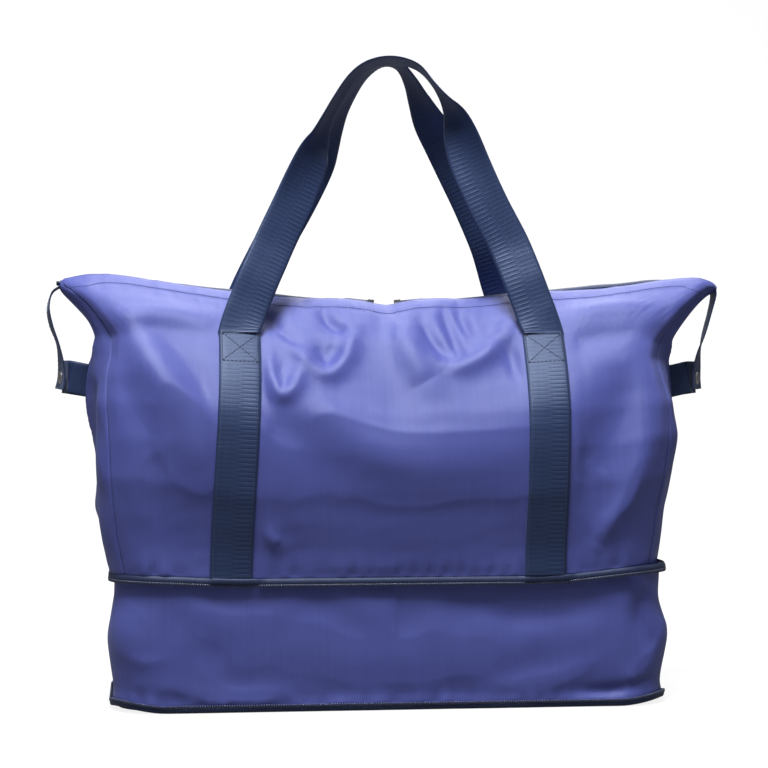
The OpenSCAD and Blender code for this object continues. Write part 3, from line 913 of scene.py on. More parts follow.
class TOTE_OT_stage(bpy.types.Operator):
    """Pale floor, soft lights and camera"""

    bl_idname = "tote.stage"
    bl_label = "Stage"

    def execute(self, context):
        scene = context.scene
        scene.view_settings.view_transform = "Standard"
        far, near, width, rise, bend = 2.6, -3.5, 6.0, 4.0, 1.2
        way = [(near, 0.0), (far - bend, 0.0)]
        for k in range(1, 13):
            turn = math.pi / 2 * k / 12
            way.append((far - bend + bend * math.sin(turn), bend - bend * math.cos(turn)))
        way.append((far, rise))
        across = np.linspace(-width, width, 9)
        grid = np.array([[(x, y, z) for x in across] for y, z in way])
        floor = new_piece("floor", grid.reshape(-1, 3), grid_faces(len(way), len(across)), pale_floor())
        world = bpy.data.worlds.new("studio")
        scene.world = world
        world.use_nodes = True
        world.node_tree.nodes["Background"].inputs["Color"].default_value = (0.93, 0.95, 1.0, 1)
        seen = world.node_tree.nodes.new("ShaderNodeLightPath").outputs["Is Camera Ray"]
        strength = sum_node(world.node_tree, "MULTIPLY_ADD", seen, 1.0, 0.10)
        world.node_tree.links.new(strength, world.node_tree.nodes["Background"].inputs["Strength"])
        lamps = [
            ("top", (-0.3, -0.85, 2.5), (0.0, 0.0, 0.25), 1.0, 92.0),
            ("front", (-0.6, -2.6, 2.6), (0.0, 0.0, 0.30), 1.6, 9.0),
            ("backdrop", (0.0, 1.3, 2.8), (0.0, 2.6, 0.6), 2.4, 30.0),
            ("behind", (0.4, 1.7, 2.2), (0.0, 0.0, 0.30), 1.4, 22.0),
            ("left", (-2.6, 0.5, 1.7), (0.0, 0.0, 0.25), 1.2, 6.0),
            ("right", (2.6, 0.5, 1.7), (0.0, 0.0, 0.25), 1.2, 6.0),
        ]
        for name, place, aim, size, power in lamps:
            light = bpy.data.lights.new(name, "AREA")
            light.shape = "DISK"
            light.size = size
            light.energy = power
            lamp = bpy.data.objects.new(name, light)
            scene.collection.objects.link(lamp)
            lamp.location = place
            lamp.rotation_mode = "QUATERNION"
            lamp.rotation_quaternion = (Vector(aim) - Vector(place)).to_track_quat("-Z", "Y")
        lens = bpy.data.cameras.new("camera")
        lens.sensor_width = 36.0
        lens.lens = 98.7
        camera = bpy.data.objects.new("camera", lens)
        scene.collection.objects.link(camera)
        turn, distance, height = math.radians(-6.5), 2.0, 0.295
        camera.location = (math.sin(turn) * distance, -math.cos(turn) * distance, height)
        camera.rotation_mode = "QUATERNION"
        aim = Vector((0, 0, height)) - camera.location
        camera.rotation_quaternion = aim.to_track_quat("-Z", "Y")
        scene.camera = camera
        return {"FINISHED"}


class TOTE_OT_upper_body(bpy.types.Operator):
    """Front, back and gussets of the upper body"""

    bl_idname = "tote.upper_body"
    bl_label = "Upper body"

    def execute(self, context):
        grids = upper_grids()
        thickness = sizes().cloth_thickness
        for name, key, node in (
            ("front_cloth", "front", "front_panel"),
            ("back_cloth", "back", "back_panel"),
            ("left_gusset_cloth", "left", "left_gusset"),
            ("right_gusset_cloth", "right", "right_gusset"),
        ):
            piece = thick_cloth(name, grids[key], thickness, nylon())
            finish_piece(piece, "bag", "fabric", node)
        return {"FINISHED"}


class TOTE_OT_hem_stitching(bpy.types.Operator):
    """Rows of stitches along the hem"""

    bl_idname = "tote.hem_stitching"
    bl_label = "Hem stitching"

    def execute(self, context):
        grids = upper_grids()
        for name, key in (("hem_stitches_front", "front"), ("hem_stitches_back", "back")):
            grid = grids[key]
            facing = grid_normals(grid)
            top = grid[-1, :, 2]
            line, normals = [], []
            for j in range(4, grid.shape[1] - 4):
                k = np.interp(top[j] - HEM * MM, grid[:, j, 2], np.arange(len(grid)))
                low = int(k)
                share = k - low
                line.append(grid[low, j] * (1 - share) + grid[low + 1, j] * share)
                normals.append(facing[low, j] * (1 - share) + facing[low + 1, j] * share)
            line, normals = np.array(line), np.array(normals)
            rows = [stitch_places(line + normals * 0.25 * MM, normals, sizes().stitch_length)]
            finish_piece(thread_piece(name, rows, hem_thread()), "bag", "thread")
        return {"FINISHED"}


class TOTE_OT_strap_runs(bpy.types.Operator):
    """Webbing sewn down the panels, with its crossed boxes of stitching"""

    bl_idname = "tote.strap_runs"
    bl_label = "Strap runs and crossed boxes"

    def execute(self, context):
        width, thickness = sizes().webbing_width, sizes().webbing_thickness
        for side, face in ((-1, "front"), (1, "back")):
            box_rows = []
            edge_rows = []
            for leg, hand in ((-1, "left"), (1, "right")):
                centre, across, facing = run_frames(side, leg)
                run, at = curve_through(centre, 0.00052)
                across, facing = (unit(between(at, distances(centre), v)) for v in (across, facing))
                name = f"webbing_run_{face}_{hand}"
                piece = webbing_piece(name, run, across, facing, width, thickness, webbing())
                finish_piece(piece, "bag", "webbing", f"strap_run_{face}_{hand}")
                box_rows += box_stitches(run, across, facing, width, thickness)
                for edge in (-1, 1):
                    line = run + across * edge * (width / 2 - 2.8 * MM) + facing * (thickness / 2 - 0.2 * MM)
                    edge_rows.append(stitch_places(line, facing, sizes().stitch_length, gauge=0.0005))
            boxes = thread_piece(f"crossed_boxes_{face}", box_rows, thread())
            finish_piece(boxes, "bag", "thread", f"stitching_{face}")
            finish_piece(thread_piece(f"edge_stitches_{face}", edge_rows, thread()), "bag", "thread")
        return {"FINISHED"}


def box_stitches(line, across, facing, width, thickness):
    """A box of stitches with a cross in it, at the top end of a strap."""
    run = distances(line)
    tall, margin = 31.0 * MM, 2.2 * MM
    half = width / 2 - 2.6 * MM
    top = run[-1] - margin

    def on(w, s):
        middle, sideways, outward = (between(s, run, v) for v in (line, across, facing))
        return middle + sideways * w + outward * (thickness / 2 + 0.25 * MM), outward

    def row(start, end, gauge=0.0008):
        way = [np.array(start) * (1 - t) + np.array(end) * t for t in np.linspace(0, 1, 24)]
        points, normals = zip(*[on(w, s) for w, s in way])
        return stitch_places(np.array(points), np.array(normals), sizes().stitch_length, gauge=gauge)

    low = top - tall
    rows = [
        row((-half, low), (half, low)),
        row((-half, top), (half, top)),
        row((-half, low), (-half, top)),
        row((half, low), (half, top)),
        row((-half, low), (half, top)),
        row((-half, top), (half, low)),
    ]
    teeth = 12
    for k in range(teeth):
        a = -half + 2 * half * k / teeth
        b = -half + 2 * half * (k + 0.5) / teeth
        c = -half + 2 * half * (k + 1) / teeth
        rows.append(row((a, top + 0.3 * MM), (b, top + 1.6 * MM)))
        rows.append(row((b, top + 1.6 * MM), (c, top + 0.3 * MM)))
    return rows


# Left leg, top and right leg of each handle: (x, y, z, turn of its width in degrees).
HANDLE_FRONT = [
    (-141, -68.9, 341.6, 0), (-139.6, -67.2, 346, 0), (-131, -61, 369, 2), (-122, -56.5, 391, 4),
    (-113.5, -50.5, 410, 5), (-105, -45, 429, 6), (-88, -39.5, 465, 9), (-72.5, -35.5, 503, 30),
    (-65, -31.5, 522, 56), (-58, -28.5, 541, 70), (-48.5, -25.5, 560, 74), (-36, -23, 579, 76),
    (-21, -21, 592, 80), (-3, -20, 598.5, 84), (15, -20, 598.5, 88), (31, -21.5, 592.5, 92),
    (44.5, -23, 578.5, 96), (57, -26, 560, 84), (66, -29, 541, 56), (77, -33.5, 503, 20),
    (92.5, -39.5, 465, 8), (110.5, -45, 429, 5), (118, -50.5, 410, 4), (124.5, -56.5, 391, 3),
    (132, -61, 369, 2), (139.6, -67.2, 346, 0), (141, -68.9, 341.6, 0),
]
HANDLE_BACK = [
    (-141, 68.9, 341.6, 0), (-139.6, 67.2, 346, 0), (-131, 61, 369, 0), (-122, 56.5, 391, 0),
    (-103, 45, 429, 2), (-83, 39.5, 465, 8), (-63, 35, 503, 26), (-54, 31.5, 522, 46), (-46, 28.5, 541, 62),
    (-37.5, 25.5, 560, 72), (-26, 23, 579, 78), (-13, 21, 593, 84), (3, 20, 602, 90), (17, 20, 600, 88),
    (28.5, 21.5, 586, 80), (38, 23.5, 568, 66), (48, 27, 548, 46), (61, 30.5, 527, 28), (77, 35, 497, 14),
    (93, 39.5, 465, 6), (109, 45, 429, 2), (122, 56.5, 391, 0), (131, 61, 369, 0), (139.6, 67.2, 346, 0),
    (141, 68.9, 341.6, 0),
]


class TOTE_OT_handles(bpy.types.Operator):
    """The two webbing handles"""

    bl_idname = "tote.handles"
    bl_label = "Handles"

    def execute(self, context):
        for name, path, side in (("front", HANDLE_FRONT, -1), ("back", HANDLE_BACK, 1)):
            line, _ = curve_through(path, 0.52)
            centre = line[:, :3] * MM
            turn = np.radians(soften(line[:, 3], 24))
            along = unit(np.gradient(centre, axis=0))
            flat = unit(np.cross(AWAY, along))
            bend = np.cross(along, flat)
            across = flat * np.cos(turn)[:, None] + bend * np.sin(turn)[:, None]
            # the ends lie square on the webbing that is sewn to the panel
            run = distances(centre)
            root = smooth(1 - np.minimum(run, run[-1] - run) / (24 * MM))[:, None]
            level = RIGHT[None] * np.sign(across[:, :1])
            across = unit(across * (1 - root) + level * root)
            across = unit(across - along * (across * along).sum(1, keepdims=True) * (1 - root))
            facing = unit(np.cross(along, across))
            cup = -1.6 * MM * smooth((centre[:, 2] - 0.44) / 0.06) * smooth((0.6 - centre[:, 2]) / 0.03)
            piece = webbing_piece(
                f"webbing_handle_{name}", centre, across, facing, sizes().webbing_width,
                sizes().webbing_thickness, webbing(), cup=cup,
            )
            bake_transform(piece)
            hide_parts(f"handle_{name}")
        return {"FINISHED"}


# Side straps: (distance out, height, turn of the outer face towards the front, in degrees).
SIDE_STRAP = {
    "left": [
        (303, 386.5, 0), (311.6, 380, 2), (315.2, 366, 6), (312.6, 350, 8), (306.6, 333, 6), (303.6, 316, 12),
        (303.0, 301, 16), (305.0, 290, 18),
    ],
    "right": [
        (318, 388, 2), (320.5, 381, 4), (317.0, 365, 7), (310.6, 342, 9), (306.4, 326, 20), (304.4, 312, 28),
        (303.6, 301, 30), (304.4, 290, 30),
    ],
}
SNAP_HEIGHT = 301.06 * MM


def side_strap_line(hand):
    """Line, width direction and outward facing of a side strap."""
    way = -1 if hand == "left" else 1
    points = [(way * x, 0, z, turn) for x, z, turn in SIDE_STRAP[hand]]
    line, _ = curve_through(points, 0.6)
    centre = line[:, :3] * MM
    turn = np.radians(soften(line[:, 3], 12))
    along = unit(np.gradient(centre, axis=0))
    across = np.stack([way * np.sin(turn), np.cos(turn), 0 * turn], axis=1) * -way
    across = square_to(across, along)
    return centre, across, np.cross(along, across)


def snap_place(hand):
    """Middle of the snap on the strap's line, and its outward direction."""
    centre, _, facing = side_strap_line(hand)
    k = int(np.argmin(np.abs(centre[:, 2] - SNAP_HEIGHT)))
    return centre[k], facing[k] * np.sign(facing[k][0]) * (-1 if hand == "left" else 1)


class TOTE_OT_side_straps(bpy.types.Operator):
    """Side straps and the webbing tabs that they snap to"""

    bl_idname = "tote.side_straps"
    bl_label = "Side straps and tabs"

    def execute(self, context):
        width, thickness = sizes().strap_width, sizes().strap_thickness
        for hand, way in (("left", -1), ("right", 1)):
            line, across, facing = side_strap_line(hand)
            name = f"webbing_side_strap_{hand}"
            piece = webbing_piece(name, line, across, facing, width, thickness, webbing())
            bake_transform(piece)
            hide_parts(f"side_strap_{hand}")
            self.tab(hand, way)
        return {"FINISHED"}

    def tab(self, hand, way):
        """A doubled loop of webbing that stands out of the gusset and rises a little."""
        low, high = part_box(f"side_tab_{hand}")
        middle = (low.z + high.z) / 2
        height = (high.z - low.z) - 3.0 * MM
        outer = max(abs(low.x), abs(high.x)) - 0.6 * MM
        root = min(abs(low.x), abs(high.x)) - 5.0 * MM
        depth = (high.y - low.y) / 2 - 0.9 * MM
        corner = 2.4 * MM
        half = [(root, -depth * 0.80), (root + 9 * MM, -depth * 0.99), (outer - corner, -depth)]
        for k in range(1, 6):
            turn = math.pi / 2 * k / 6
            half.append((outer - corner + corner * math.sin(turn), -depth + corner - corner * math.cos(turn)))
        half.append((outer, -depth + corner + 1.0 * MM))
        half += [(x, -y) for x, y in half[::-1]]
        turned = math.tan(math.radians(SIDE_STRAP[hand][-2][2]))
        points = []
        for x, y in half:
            share = (x - root) / (outer - root)
            points.append((way * (x + y * turned * share**2), y, middle + (6.0 * share - 5.0) * MM))
        line, _ = curve_through(points, 0.0006)
        along = unit(np.gradient(line, axis=0))
        across = square_to(np.tile(UP * way, (len(line), 1)), along)
        facing = np.cross(along, across)
        thickness = sizes().strap_thickness
        piece = webbing_piece(f"webbing_tab_{hand}", line, across, facing, height, thickness, webbing())
        finish_piece(piece, "bag", "webbing", f"side_tab_{hand}")


def turned_piece(name, profile, centre, axis, material, steps=48):
    """A round piece from its outline: (radius, height) from the middle of the bottom round to the top."""
    z = axis / np.linalg.norm(axis)
    x = unit(np.cross(z, UP))
    y = np.cross(z, x)
    outline, _ = curve_through(profile, 0.22)
    outline = outline[1:-1]
    turn = np.linspace(0, 2 * math.pi, steps, endpoint=False)
    loops = []
    for r, h in outline:
        ring = x[None] * np.cos(turn)[:, None] + y[None] * np.sin(turn)[:, None]
        loops.append(centre + (ring * max(r, 0.05) + z * h) * MM)
    return swept(name, np.array(loops), material)


def corner_lift(x, y):
    """How far the base curls up at its corners."""
    return np.where(y < 0, 4.5, 1.4) * smooth((np.abs(x) - 205) / 50) * smooth((np.abs(y) - 30) / 50)


def outline_loop(inset, count):
    """Evenly spaced points round the base outline, their outward directions and how far round they are.

    It starts at the front, on the right, and inset makes the outline smaller on every side.
    """
    half_length, half_depth, corner = (v - inset for v in OUTLINE)
    straight_x, straight_y = half_length - corner, half_depth - corner
    way = []
    for side_x, side_y, start in ((1, -1, -90), (1, 1, 0), (-1, 1, 90), (-1, -1, 180)):
        for k in range(25):
            turn = math.radians(start + 90 * k / 24)
            out_x, out_y = math.cos(turn), math.sin(turn)
            x, y = side_x * straight_x + corner * out_x, side_y * straight_y + corner * out_y
            way.append((x, y, out_x, out_y))
    way.append(way[0])
    way = np.array(way)
    run = distances(way[:, :2])
    at = np.linspace(0, run[-1], count, endpoint=False)
    found = between(at, run, way)
    return found[:, :2], unit(found[:, 2:]), at


# Folds of the drop wall, at the front, and seen from behind at the back.
WALL_FOLDS = [
    ([(-238, 52), (-226, 46), (-212, 48)], 6, 2.0),
    ([(-250, 100), (-236, 70), (-232, 30)], 12, 2.4),
    ([(-205, 24), (-150, 14), (-100, 16)], 8, 1.6),
    ([(-120, 60), (-20, 46), (90, 54)], 20, 1.8),
    ([(60, 96), (120, 84), (190, 92)], 14, -1.6),
    ([(236, 110), (226, 84), (236, 50)], 9, -2.6),
    ([(250, 70), (238, 44), (214, 20)], 8, 2.4),
    ([(232, 26), (206, 16), (170, 14)], 6, -2.0),
    ([(180, 40), (150, 26), (96, 20)], 9, 1.4),
    ([(-190, 96), (-150, 78), (-110, 84)], 14, 1.4),
]


def wall_grid(count=640, rows=52):
    """The drop wall all the way round, from its lower seam to its upper seam."""
    loop, out, run = outline_loop(2.8, count)
    v = np.linspace(0, 1, rows)[:, None]
    x, y = loop[None, :, 0], loop[None, :, 1]
    top = 118.4 + seam_rise(x, y)
    foot = WALL_FOOT + corner_lift(x, y)
    z = foot + (top - foot) * v
    belly = 2.4 * np.sin(math.pi * v) ** 0.8 - 1.8 * v
    belly = belly + np.where(x < 0, 0.6, -0.4) * v
    inside = smooth(v / 0.06) * smooth((1 - v) / 0.06)
    front = smooth((-y - 40) / 40)
    lift = belly + front * fold_heights(x + 0 * z, z + 0 * x, WALL_FOLDS) * inside
    back = smooth((y - 40) / 40)
    lift = lift + back * fold_heights(-x + 0 * z, z * 1.02, WALL_FOLDS) * inside
    around = run[None, :] + 0 * z
    # the uneven parts die out where the ring closes
    calm = smooth(np.minimum(run, run[-1] - run)[None, :] / 20)
    up, down = z - foot, top - z
    lift = lift + 0.5 * ripple(around, z, 30, 71) * calm
    for size, height, seed, way, reach in ((10, 0.7, 72, up, 10), (12, 0.5, 73, down, 9)):
        puckers = height * ripple(around, z * 0.3, size, seed)
        lift = lift + puckers * np.exp(-((way / reach) ** 2)) * smooth(way / 2.5) * calm
    # the upper teeth pass outside the wall as the bag comes down
    lift = np.where(lift > 2.4, 2.4 + (lift - 2.4) * 0.3, lift)
    lift = lift + 1.9 * np.exp(-((up / 7) ** 2)) + 2.6 * np.exp(-((down / 5) ** 2))
    ends = smooth((np.abs(x) - 215) / 35) * (1 - smooth((y - 10) / 60))
    lift = lift + 4.6 * ends * np.exp(-(((z - 64) / 22) ** 2)) - 0.8 * ends * np.exp(-(((z - 98) / 12) ** 2))
    xx = x + out[None, :, 0] * lift
    yy = y + out[None, :, 1] * lift
    return np.stack([xx, yy, z + 0 * x], axis=-1)


class TOTE_OT_drop_wall(bpy.types.Operator):
    """Cloth wall of the drop-down section, front and back halves"""

    bl_idname = "tote.drop_wall"
    bl_label = "Drop wall"

    def execute(self, context):
        grid = wall_grid()
        # the two columns that lie in the middle of the ends
        x, y = grid[0, :, 0], grid[0, :, 1]
        middle_right = int(np.argmin(np.where(x > 0, np.abs(y), np.inf)))
        middle_left = int(np.argmin(np.where(x < 0, np.abs(y), np.inf)))
        back = grid[:, middle_right : middle_left + 1]
        front = np.concatenate([grid[:, middle_left:], grid[:, : middle_right + 1]], axis=1)
        for name, half in (("front", front), ("back", back)):
            piece = thick_cloth(f"drop_wall_cloth_{name}", half * MM, sizes().cloth_thickness, nylon())
            finish_piece(piece, "base", "fabric", f"drop_wall_{name}")
            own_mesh(piece)
        return {"FINISHED"}


def climb(x, y, rise):
    """Height that a strip gains by following the upper seam (rise 1) or the base (rise 0)."""
    return rise * seam_rise(x, y) + (1 - rise) * corner_lift(x, y)


def band_ring(name, z_low, z_high, out_low, out_high, thickness, material, rise=0.0, curl=0.0):
    """A strip of tape all the way round the bag. rise is how much of the seam's climb it follows."""
    loop, out, run = outline_loop(0.0, 560)
    v = np.linspace(0, 1, 7)[:, None]
    x, y = loop[None, :, 0], loop[None, :, 1]
    lift = climb(x, y, rise)
    z = z_low + (z_high - z_low) * v + lift
    offset = out_low + (out_high - out_low) * v + curl * np.sin(math.pi * v)
    over = smooth((26 - np.abs(np.abs(x + 3) - 142)) / 8) * (np.abs(y) > 60)
    offset = offset + rise * over * (0.8 + 1.4 * v)
    calm = smooth(np.minimum(run, run[-1] - run)[None] / 20)
    offset = offset + 0.25 * ripple(run[None, :] + 0 * v, 0 * z, 22, 90) * calm
    xx = x + out[None, :, 0] * offset
    yy = y + out[None, :, 1] * offset
    places = np.stack([run[None, :] * MM + 0 * v, z * MM, 0 * z], axis=-1)
    grid = np.stack([xx, yy, z + 0 * x], axis=-1) * MM
    return thick_cloth(name, grid, thickness * MM, material, places, around=True)


def tooth_shape():
    """One zip tooth: a rounded block with a narrower head. X runs along the zip, Z to the other half."""
    levels = [(0.0, 0.42, 0.50), (0.45, 0.46, 0.54), (0.75, 0.34, 0.50), (1.0, 0.20, 0.34)]
    points = []
    corners = [(-1, -0.6), (-0.6, -1), (0.6, -1), (1, -0.6), (1, 0.6), (0.6, 1), (-0.6, 1), (-1, 0.6)]
    for height, half_x, half_y in levels:
        points += [(sx * half_x, sy * half_y, height) for sx, sy in corners]
    return np.array(points), capped_faces(len(levels), len(corners))


def teeth_ring(name, z, up, out_by, rise, pitch, height, thickness, material):
    """Teeth all the way round the bag, pointing up or down."""
    loop, out, run = outline_loop(0.0, 900)
    total = run[-1] + (run[1] - run[0])
    count = int(total / pitch)
    at = (np.arange(count) + 0.5) * total / count
    step = np.concatenate([run, [total]])
    ring = np.vstack([np.hstack([loop, out]), np.hstack([loop, out])[:1]])
    found = between(at, step, ring)
    facing = unit(np.hstack([found[:, 2:], np.zeros((count, 1))]))
    centre = np.stack([found[:, 0], found[:, 1], z + climb(found[:, 0], found[:, 1], rise)], axis=1)
    centre = centre + facing * out_by
    along = unit(np.roll(centre, -1, 0) - np.roll(centre, 1, 0))
    high = unit(np.cross(along, facing)) * up
    high = high * np.sign(high[:, 2:3]) * up
    side = np.cross(high, along)
    places = np.stack([along * pitch, side * thickness, high * height, centre], axis=2) * MM
    shape, faces = tooth_shape()
    return many(name, shape, faces, places, material)


class TOTE_OT_drop_zip(bpy.types.Operator):
    """Both halves of the drop zip"""

    bl_idname = "tote.drop_zip"
    bl_label = "Drop zip"

    def execute(self, context):
        pitch = sizes().tooth_pitch / MM
        # each tape: lower and upper height, then how far out its lower and upper edges are
        upper = band_ring("drop_zip_tape_upper", 114.9, 120.6, 2.7, 1.2, 0.9, zip_tape(), rise=1.0, curl=0.8)
        finish_piece(upper, "bag", "tape", "drop_tape_upper")
        teeth = teeth_ring("drop_zip_teeth_upper", 115.2, -1, 2.1, 1.0, pitch, 3.0, 2.0, moulded_teeth())
        finish_piece(teeth, "bag", "chain", "drop_chain_upper")
        lower = band_ring("drop_zip_tape_lower", 0.6, 5.2, 0.4, 1.4, 0.9, zip_tape(), curl=0.6)
        finish_piece(lower, "base", "tape", "drop_tape_lower")
        teeth = teeth_ring("drop_zip_teeth_lower", 4.8, 1, 1.1, 0.0, pitch, 2.8, 2.0, moulded_teeth())
        finish_piece(teeth, "base", "chain", "drop_chain_lower")
        return {"FINISHED"}


class TOTE_OT_base(bpy.types.Operator):
    """Cloth under the bag, and the board above it"""

    bl_idname = "tote.base"
    bl_label = "Base"

    def execute(self, context):
        loop, _, _ = outline_loop(0.6, 320)
        rings = np.concatenate([np.linspace(0.0, 0.9, 34), np.linspace(0.92, 1.0, 9)])
        x = rings[:, None] * loop[None, :, 0]
        y = rings[:, None] * loop[None, :, 1]
        edge = np.minimum(1 - rings[:, None], 1.0)
        z = 0.35 + 0.25 * ripple(x, y, 60, 81) * smooth(edge / 0.1) + 1.2 * smooth((0.03 - edge) / 0.03)
        z = np.maximum(z, 0.02) + corner_lift(x, y) * smooth((rings[:, None] - 0.8) / 0.2)
        x, y = x[1:], y[1:]
        z = z[1:]
        rows, cols = x.shape
        under = np.stack([x, y, z], axis=-1) * MM
        over = np.stack([x * 0.999, y * 0.999, np.maximum(z + 1.2, 1.6)], axis=-1) * MM
        size = rows * cols
        points = np.vstack([under.reshape(-1, 3), over.reshape(-1, 3), [[0, 0, 0.0004]], [[0, 0, 0.0018]]])
        faces = grid_faces(rows, cols, around=True)[:, ::-1].tolist()
        faces += grid_faces(rows, cols, around=True, first=size).tolist()
        last = (rows - 1) * cols
        for j in range(cols):
            k = (j + 1) % cols
            faces.append([last + j, last + k, size + last + k, size + last + j])
            faces.append([k, j, 2 * size])
            faces.append([size + j, size + k, 2 * size + 1])
        piece = new_piece("base_cloth", points, faces, nylon(), points)
        finish_piece(piece, "base", "fabric", "base_panel")
        fasten("base_stiffener", board())
        return {"FINISHED"}


def fasten(node, material):
    """Gives a frame node that keeps its shape its finish."""
    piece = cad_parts[node]
    piece.data.materials.clear()
    piece.data.materials.append(material)


class TOTE_OT_top_zip(bpy.types.Operator):
    """Tapes, teeth and ends of the top zip"""

    bl_idname = "tote.top_zip"
    bl_label = "Top zip"

    def execute(self, context):
        x = np.linspace(-300, 300, 401)
        shape, faces = tooth_shape()
        pitch = sizes().tooth_pitch / MM
        for name, side in (("front", -1), ("back", 1)):
            # across the tape, from the teeth to the edge that is sewn to the hem
            w = np.array([0.0, 0.15, 0.35, 0.6, 0.8, 1.0])[:, None]
            near, far = 2.4, 13.2
            y = near + (far - near) * w
            height = even_rim(x)[None, :] - 0.8
            hang = np.where(w > 0.7, (w - 0.7) * 9, 0)
            uneven = 0.25 * ripple(x[None, :] + 0 * w, 40 * w, 30, 95 + side)
            z = height - hang + 0.5 * np.sin(math.pi * w) + uneven
            z = np.where(w < 0.2, height, z)
            grid = np.stack([x[None, :] + 0 * w, side * y + 0 * z, z], axis=-1) * MM
            if side > 0:
                grid = grid[:, ::-1]
            tape = thick_cloth(f"top_zip_tape_{name}", grid, 0.7 * MM, zip_tape())
            finish_piece(tape, "bag", "tape", f"top_tape_{name}")
            count = int(596 / pitch)
            at = np.linspace(-298, 298, count)
            if side > 0:
                at = at[:-1] + (at[1] - at[0]) / 2
            centre = np.stack([at, np.full(len(at), side * 2.9), even_rim(at) - 1.2], axis=1)
            along = unit(np.gradient(centre, axis=0))
            head = np.tile(np.array([0, -side, 0.0]), (len(at), 1))
            high = unit(np.cross(along, head))
            places = np.stack([along * pitch * 0.96, high * 1.9, head * 2.1, centre], axis=2) * MM
            teeth = many(f"top_zip_teeth_{name}", shape, faces, places, moulded_teeth())
            finish_piece(teeth, "bag", "chain", f"top_chain_{name}")
        for hand, way in (("left", -1), ("right", 1)):
            low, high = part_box(f"zip_end_{hand}")
            self.end_fold(hand, low, high)
        return {"FINISHED"}

    def end_fold(self, hand, low, high):
        """A folded scrap of tape over the end of the zip."""
        size = high - low
        middle = (low + high) / 2
        loops = []
        for x in np.linspace(-0.5, 0.5, 9):
            pinch = 1 - 0.25 * (2 * x) ** 2
            loop = []
            for k in range(20):
                turn = 2 * math.pi * k / 20
                c, s = math.cos(turn), math.sin(turn)
                y = math.copysign(abs(c) ** 0.5, c) * 0.5 * size.y * pinch
                z = math.copysign(abs(s) ** 0.7, s) * 0.5 * size.z * (1 - 0.15 * math.cos(6 * turn) ** 2)
                loop.append((middle.x + x * size.x, middle.y + y, middle.z + z))
            loops.append(loop)
        loops = np.array(loops)
        piece = swept(f"zip_end_fold_{hand}", loops, zip_tape(), loops.reshape(-1, 3))
        finish_piece(piece, "bag", "tape", f"zip_end_{hand}")


# Outlines of the round parts of a snap: (radius, height).
CAP = [
    (0, 0), (2.5, 0), (5.2, 0), (6.0, 0.15), (6.2, 0.5), (5.9, 0.95), (5.0, 1.25), (4.6, 1.2), (4.2, 1.25),
    (3.4, 1.5), (1.8, 1.75), (0.8, 1.8), (0, 1.8),
]
SOCKET = [
    (0, 0), (2.6, 0), (5.0, 0), (5.4, 0.3), (5.3, 0.9), (4.6, 1.2), (4.2, 1.5), (4.1, 1.9), (3.7, 2.1),
    (3.1, 2.05), (2.9, 1.6), (2.8, 1.0), (1.6, 0.9), (0, 0.9),
]
STUD = [
    (0, 0), (2.4, 0), (5.0, 0), (5.4, 0.3), (5.2, 0.8), (3.6, 0.95), (2.4, 1.1), (2.2, 1.5), (2.45, 1.9),
    (2.3, 2.25), (1.6, 2.45), (0.7, 2.5), (0, 2.5),
]
POST = [(0, 0), (2.0, 0), (3.6, 0), (4.0, 0.25), (3.9, 0.6), (3.2, 0.8), (1.6, 0.95), (0, 1.0)]


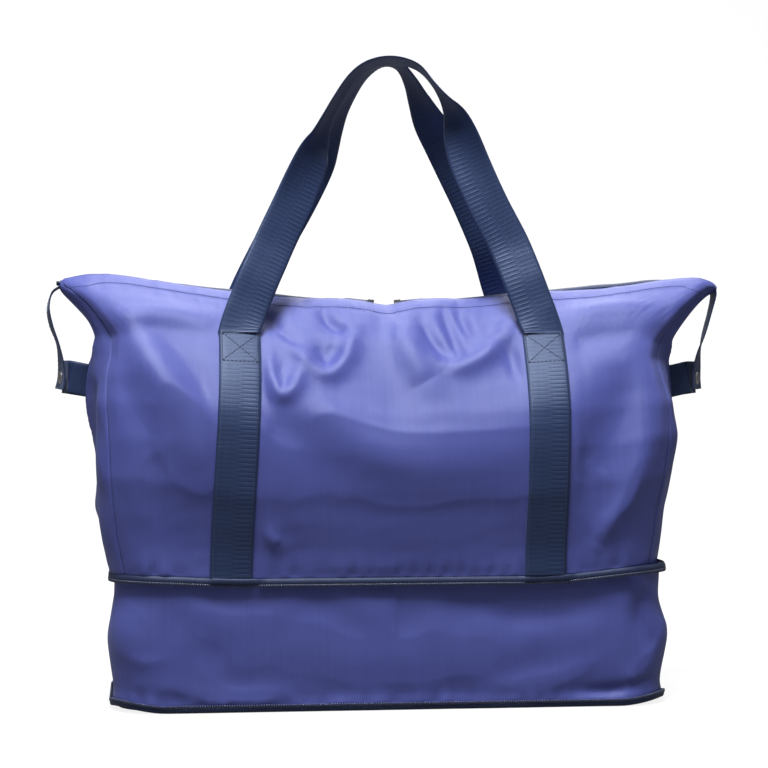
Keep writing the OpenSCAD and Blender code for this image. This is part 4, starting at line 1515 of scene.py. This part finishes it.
class TOTE_OT_metal(bpy.types.Operator):
    """Snaps, turned from their outlines, and the sliders and pulls, which keep their frame shapes"""

    bl_idname = "tote.metal"
    bl_label = "Snaps, sliders and pulls"

    def execute(self, context):
        strap = 0.8 * MM
        for hand in ("left", "right"):
            middle, out = snap_place(hand)
            cap = turned_piece(f"snap_cap_face_{hand}", CAP, middle + out * strap, out, nickel())
            finish_piece(cap, f"side_strap_{hand}", "snap", f"snap_cap_{hand}")
            ring = turned_piece(f"snap_socket_ring_{hand}", SOCKET, middle - out * strap, -out, nickel())
            finish_piece(ring, f"side_strap_{hand}", "snap", f"snap_socket_{hand}")
            foot = middle - out * (strap + 4.4 * MM)
            stud = turned_piece(f"snap_stud_nub_{hand}", STUD, foot, out, nickel())
            finish_piece(stud, "bag", "snap", f"snap_stud_{hand}")
            post = turned_piece(f"snap_post_rivet_{hand}", POST, foot - out * 1.7 * MM, -out, nickel())
            finish_piece(post, "bag", "snap", f"snap_post_{hand}")
            fasten(f"top_slider_{hand}", nickel())
            fasten(f"top_pull_{hand}", nickel())
        fasten("drop_slider", nickel())
        fasten("drop_pull", nickel())
        return {"FINISHED"}


PIECES = (
    TOTE_OT_stage,
    TOTE_OT_upper_body,
    TOTE_OT_hem_stitching,
    TOTE_OT_strap_runs,
    TOTE_OT_handles,
    TOTE_OT_side_straps,
    TOTE_OT_top_zip,
    TOTE_OT_drop_wall,
    TOTE_OT_drop_zip,
    TOTE_OT_base,
    TOTE_OT_metal,
)


class TOTE_PT_panel(bpy.types.Panel):
    """Buttons for the pieces of the bag"""

    bl_idname = "TOTE_PT_panel"
    bl_label = "Foldable tote bag"
    bl_space_type = "VIEW_3D"
    bl_region_type = "UI"
    bl_category = "Tote"

    def draw(self, context):
        for held in (context.scene.tote_sizes, context.scene.tote_colours):
            box = self.layout.box()
            for name in held.__annotations__:
                box.prop(held, name)
        for piece in PIECES:
            self.layout.operator(piece.bl_idname)


CLASSES = (ToteSizes, ToteColours, *PIECES, TOTE_PT_panel)


def register():
    for c in CLASSES:
        bpy.utils.register_class(c)
    bpy.types.Scene.tote_sizes = bpy.props.PointerProperty(type=ToteSizes)
    bpy.types.Scene.tote_colours = bpy.props.PointerProperty(type=ToteColours)


def unregister():
    del bpy.types.Scene.tote_colours
    del bpy.types.Scene.tote_sizes
    for c in reversed(CLASSES):
        bpy.utils.unregister_class(c)


def main():
    register()
    for piece in PIECES:
        group, name = piece.bl_idname.split(".")
        getattr(getattr(bpy.ops, group), name)()


if __name__ == "__main__":
    main()
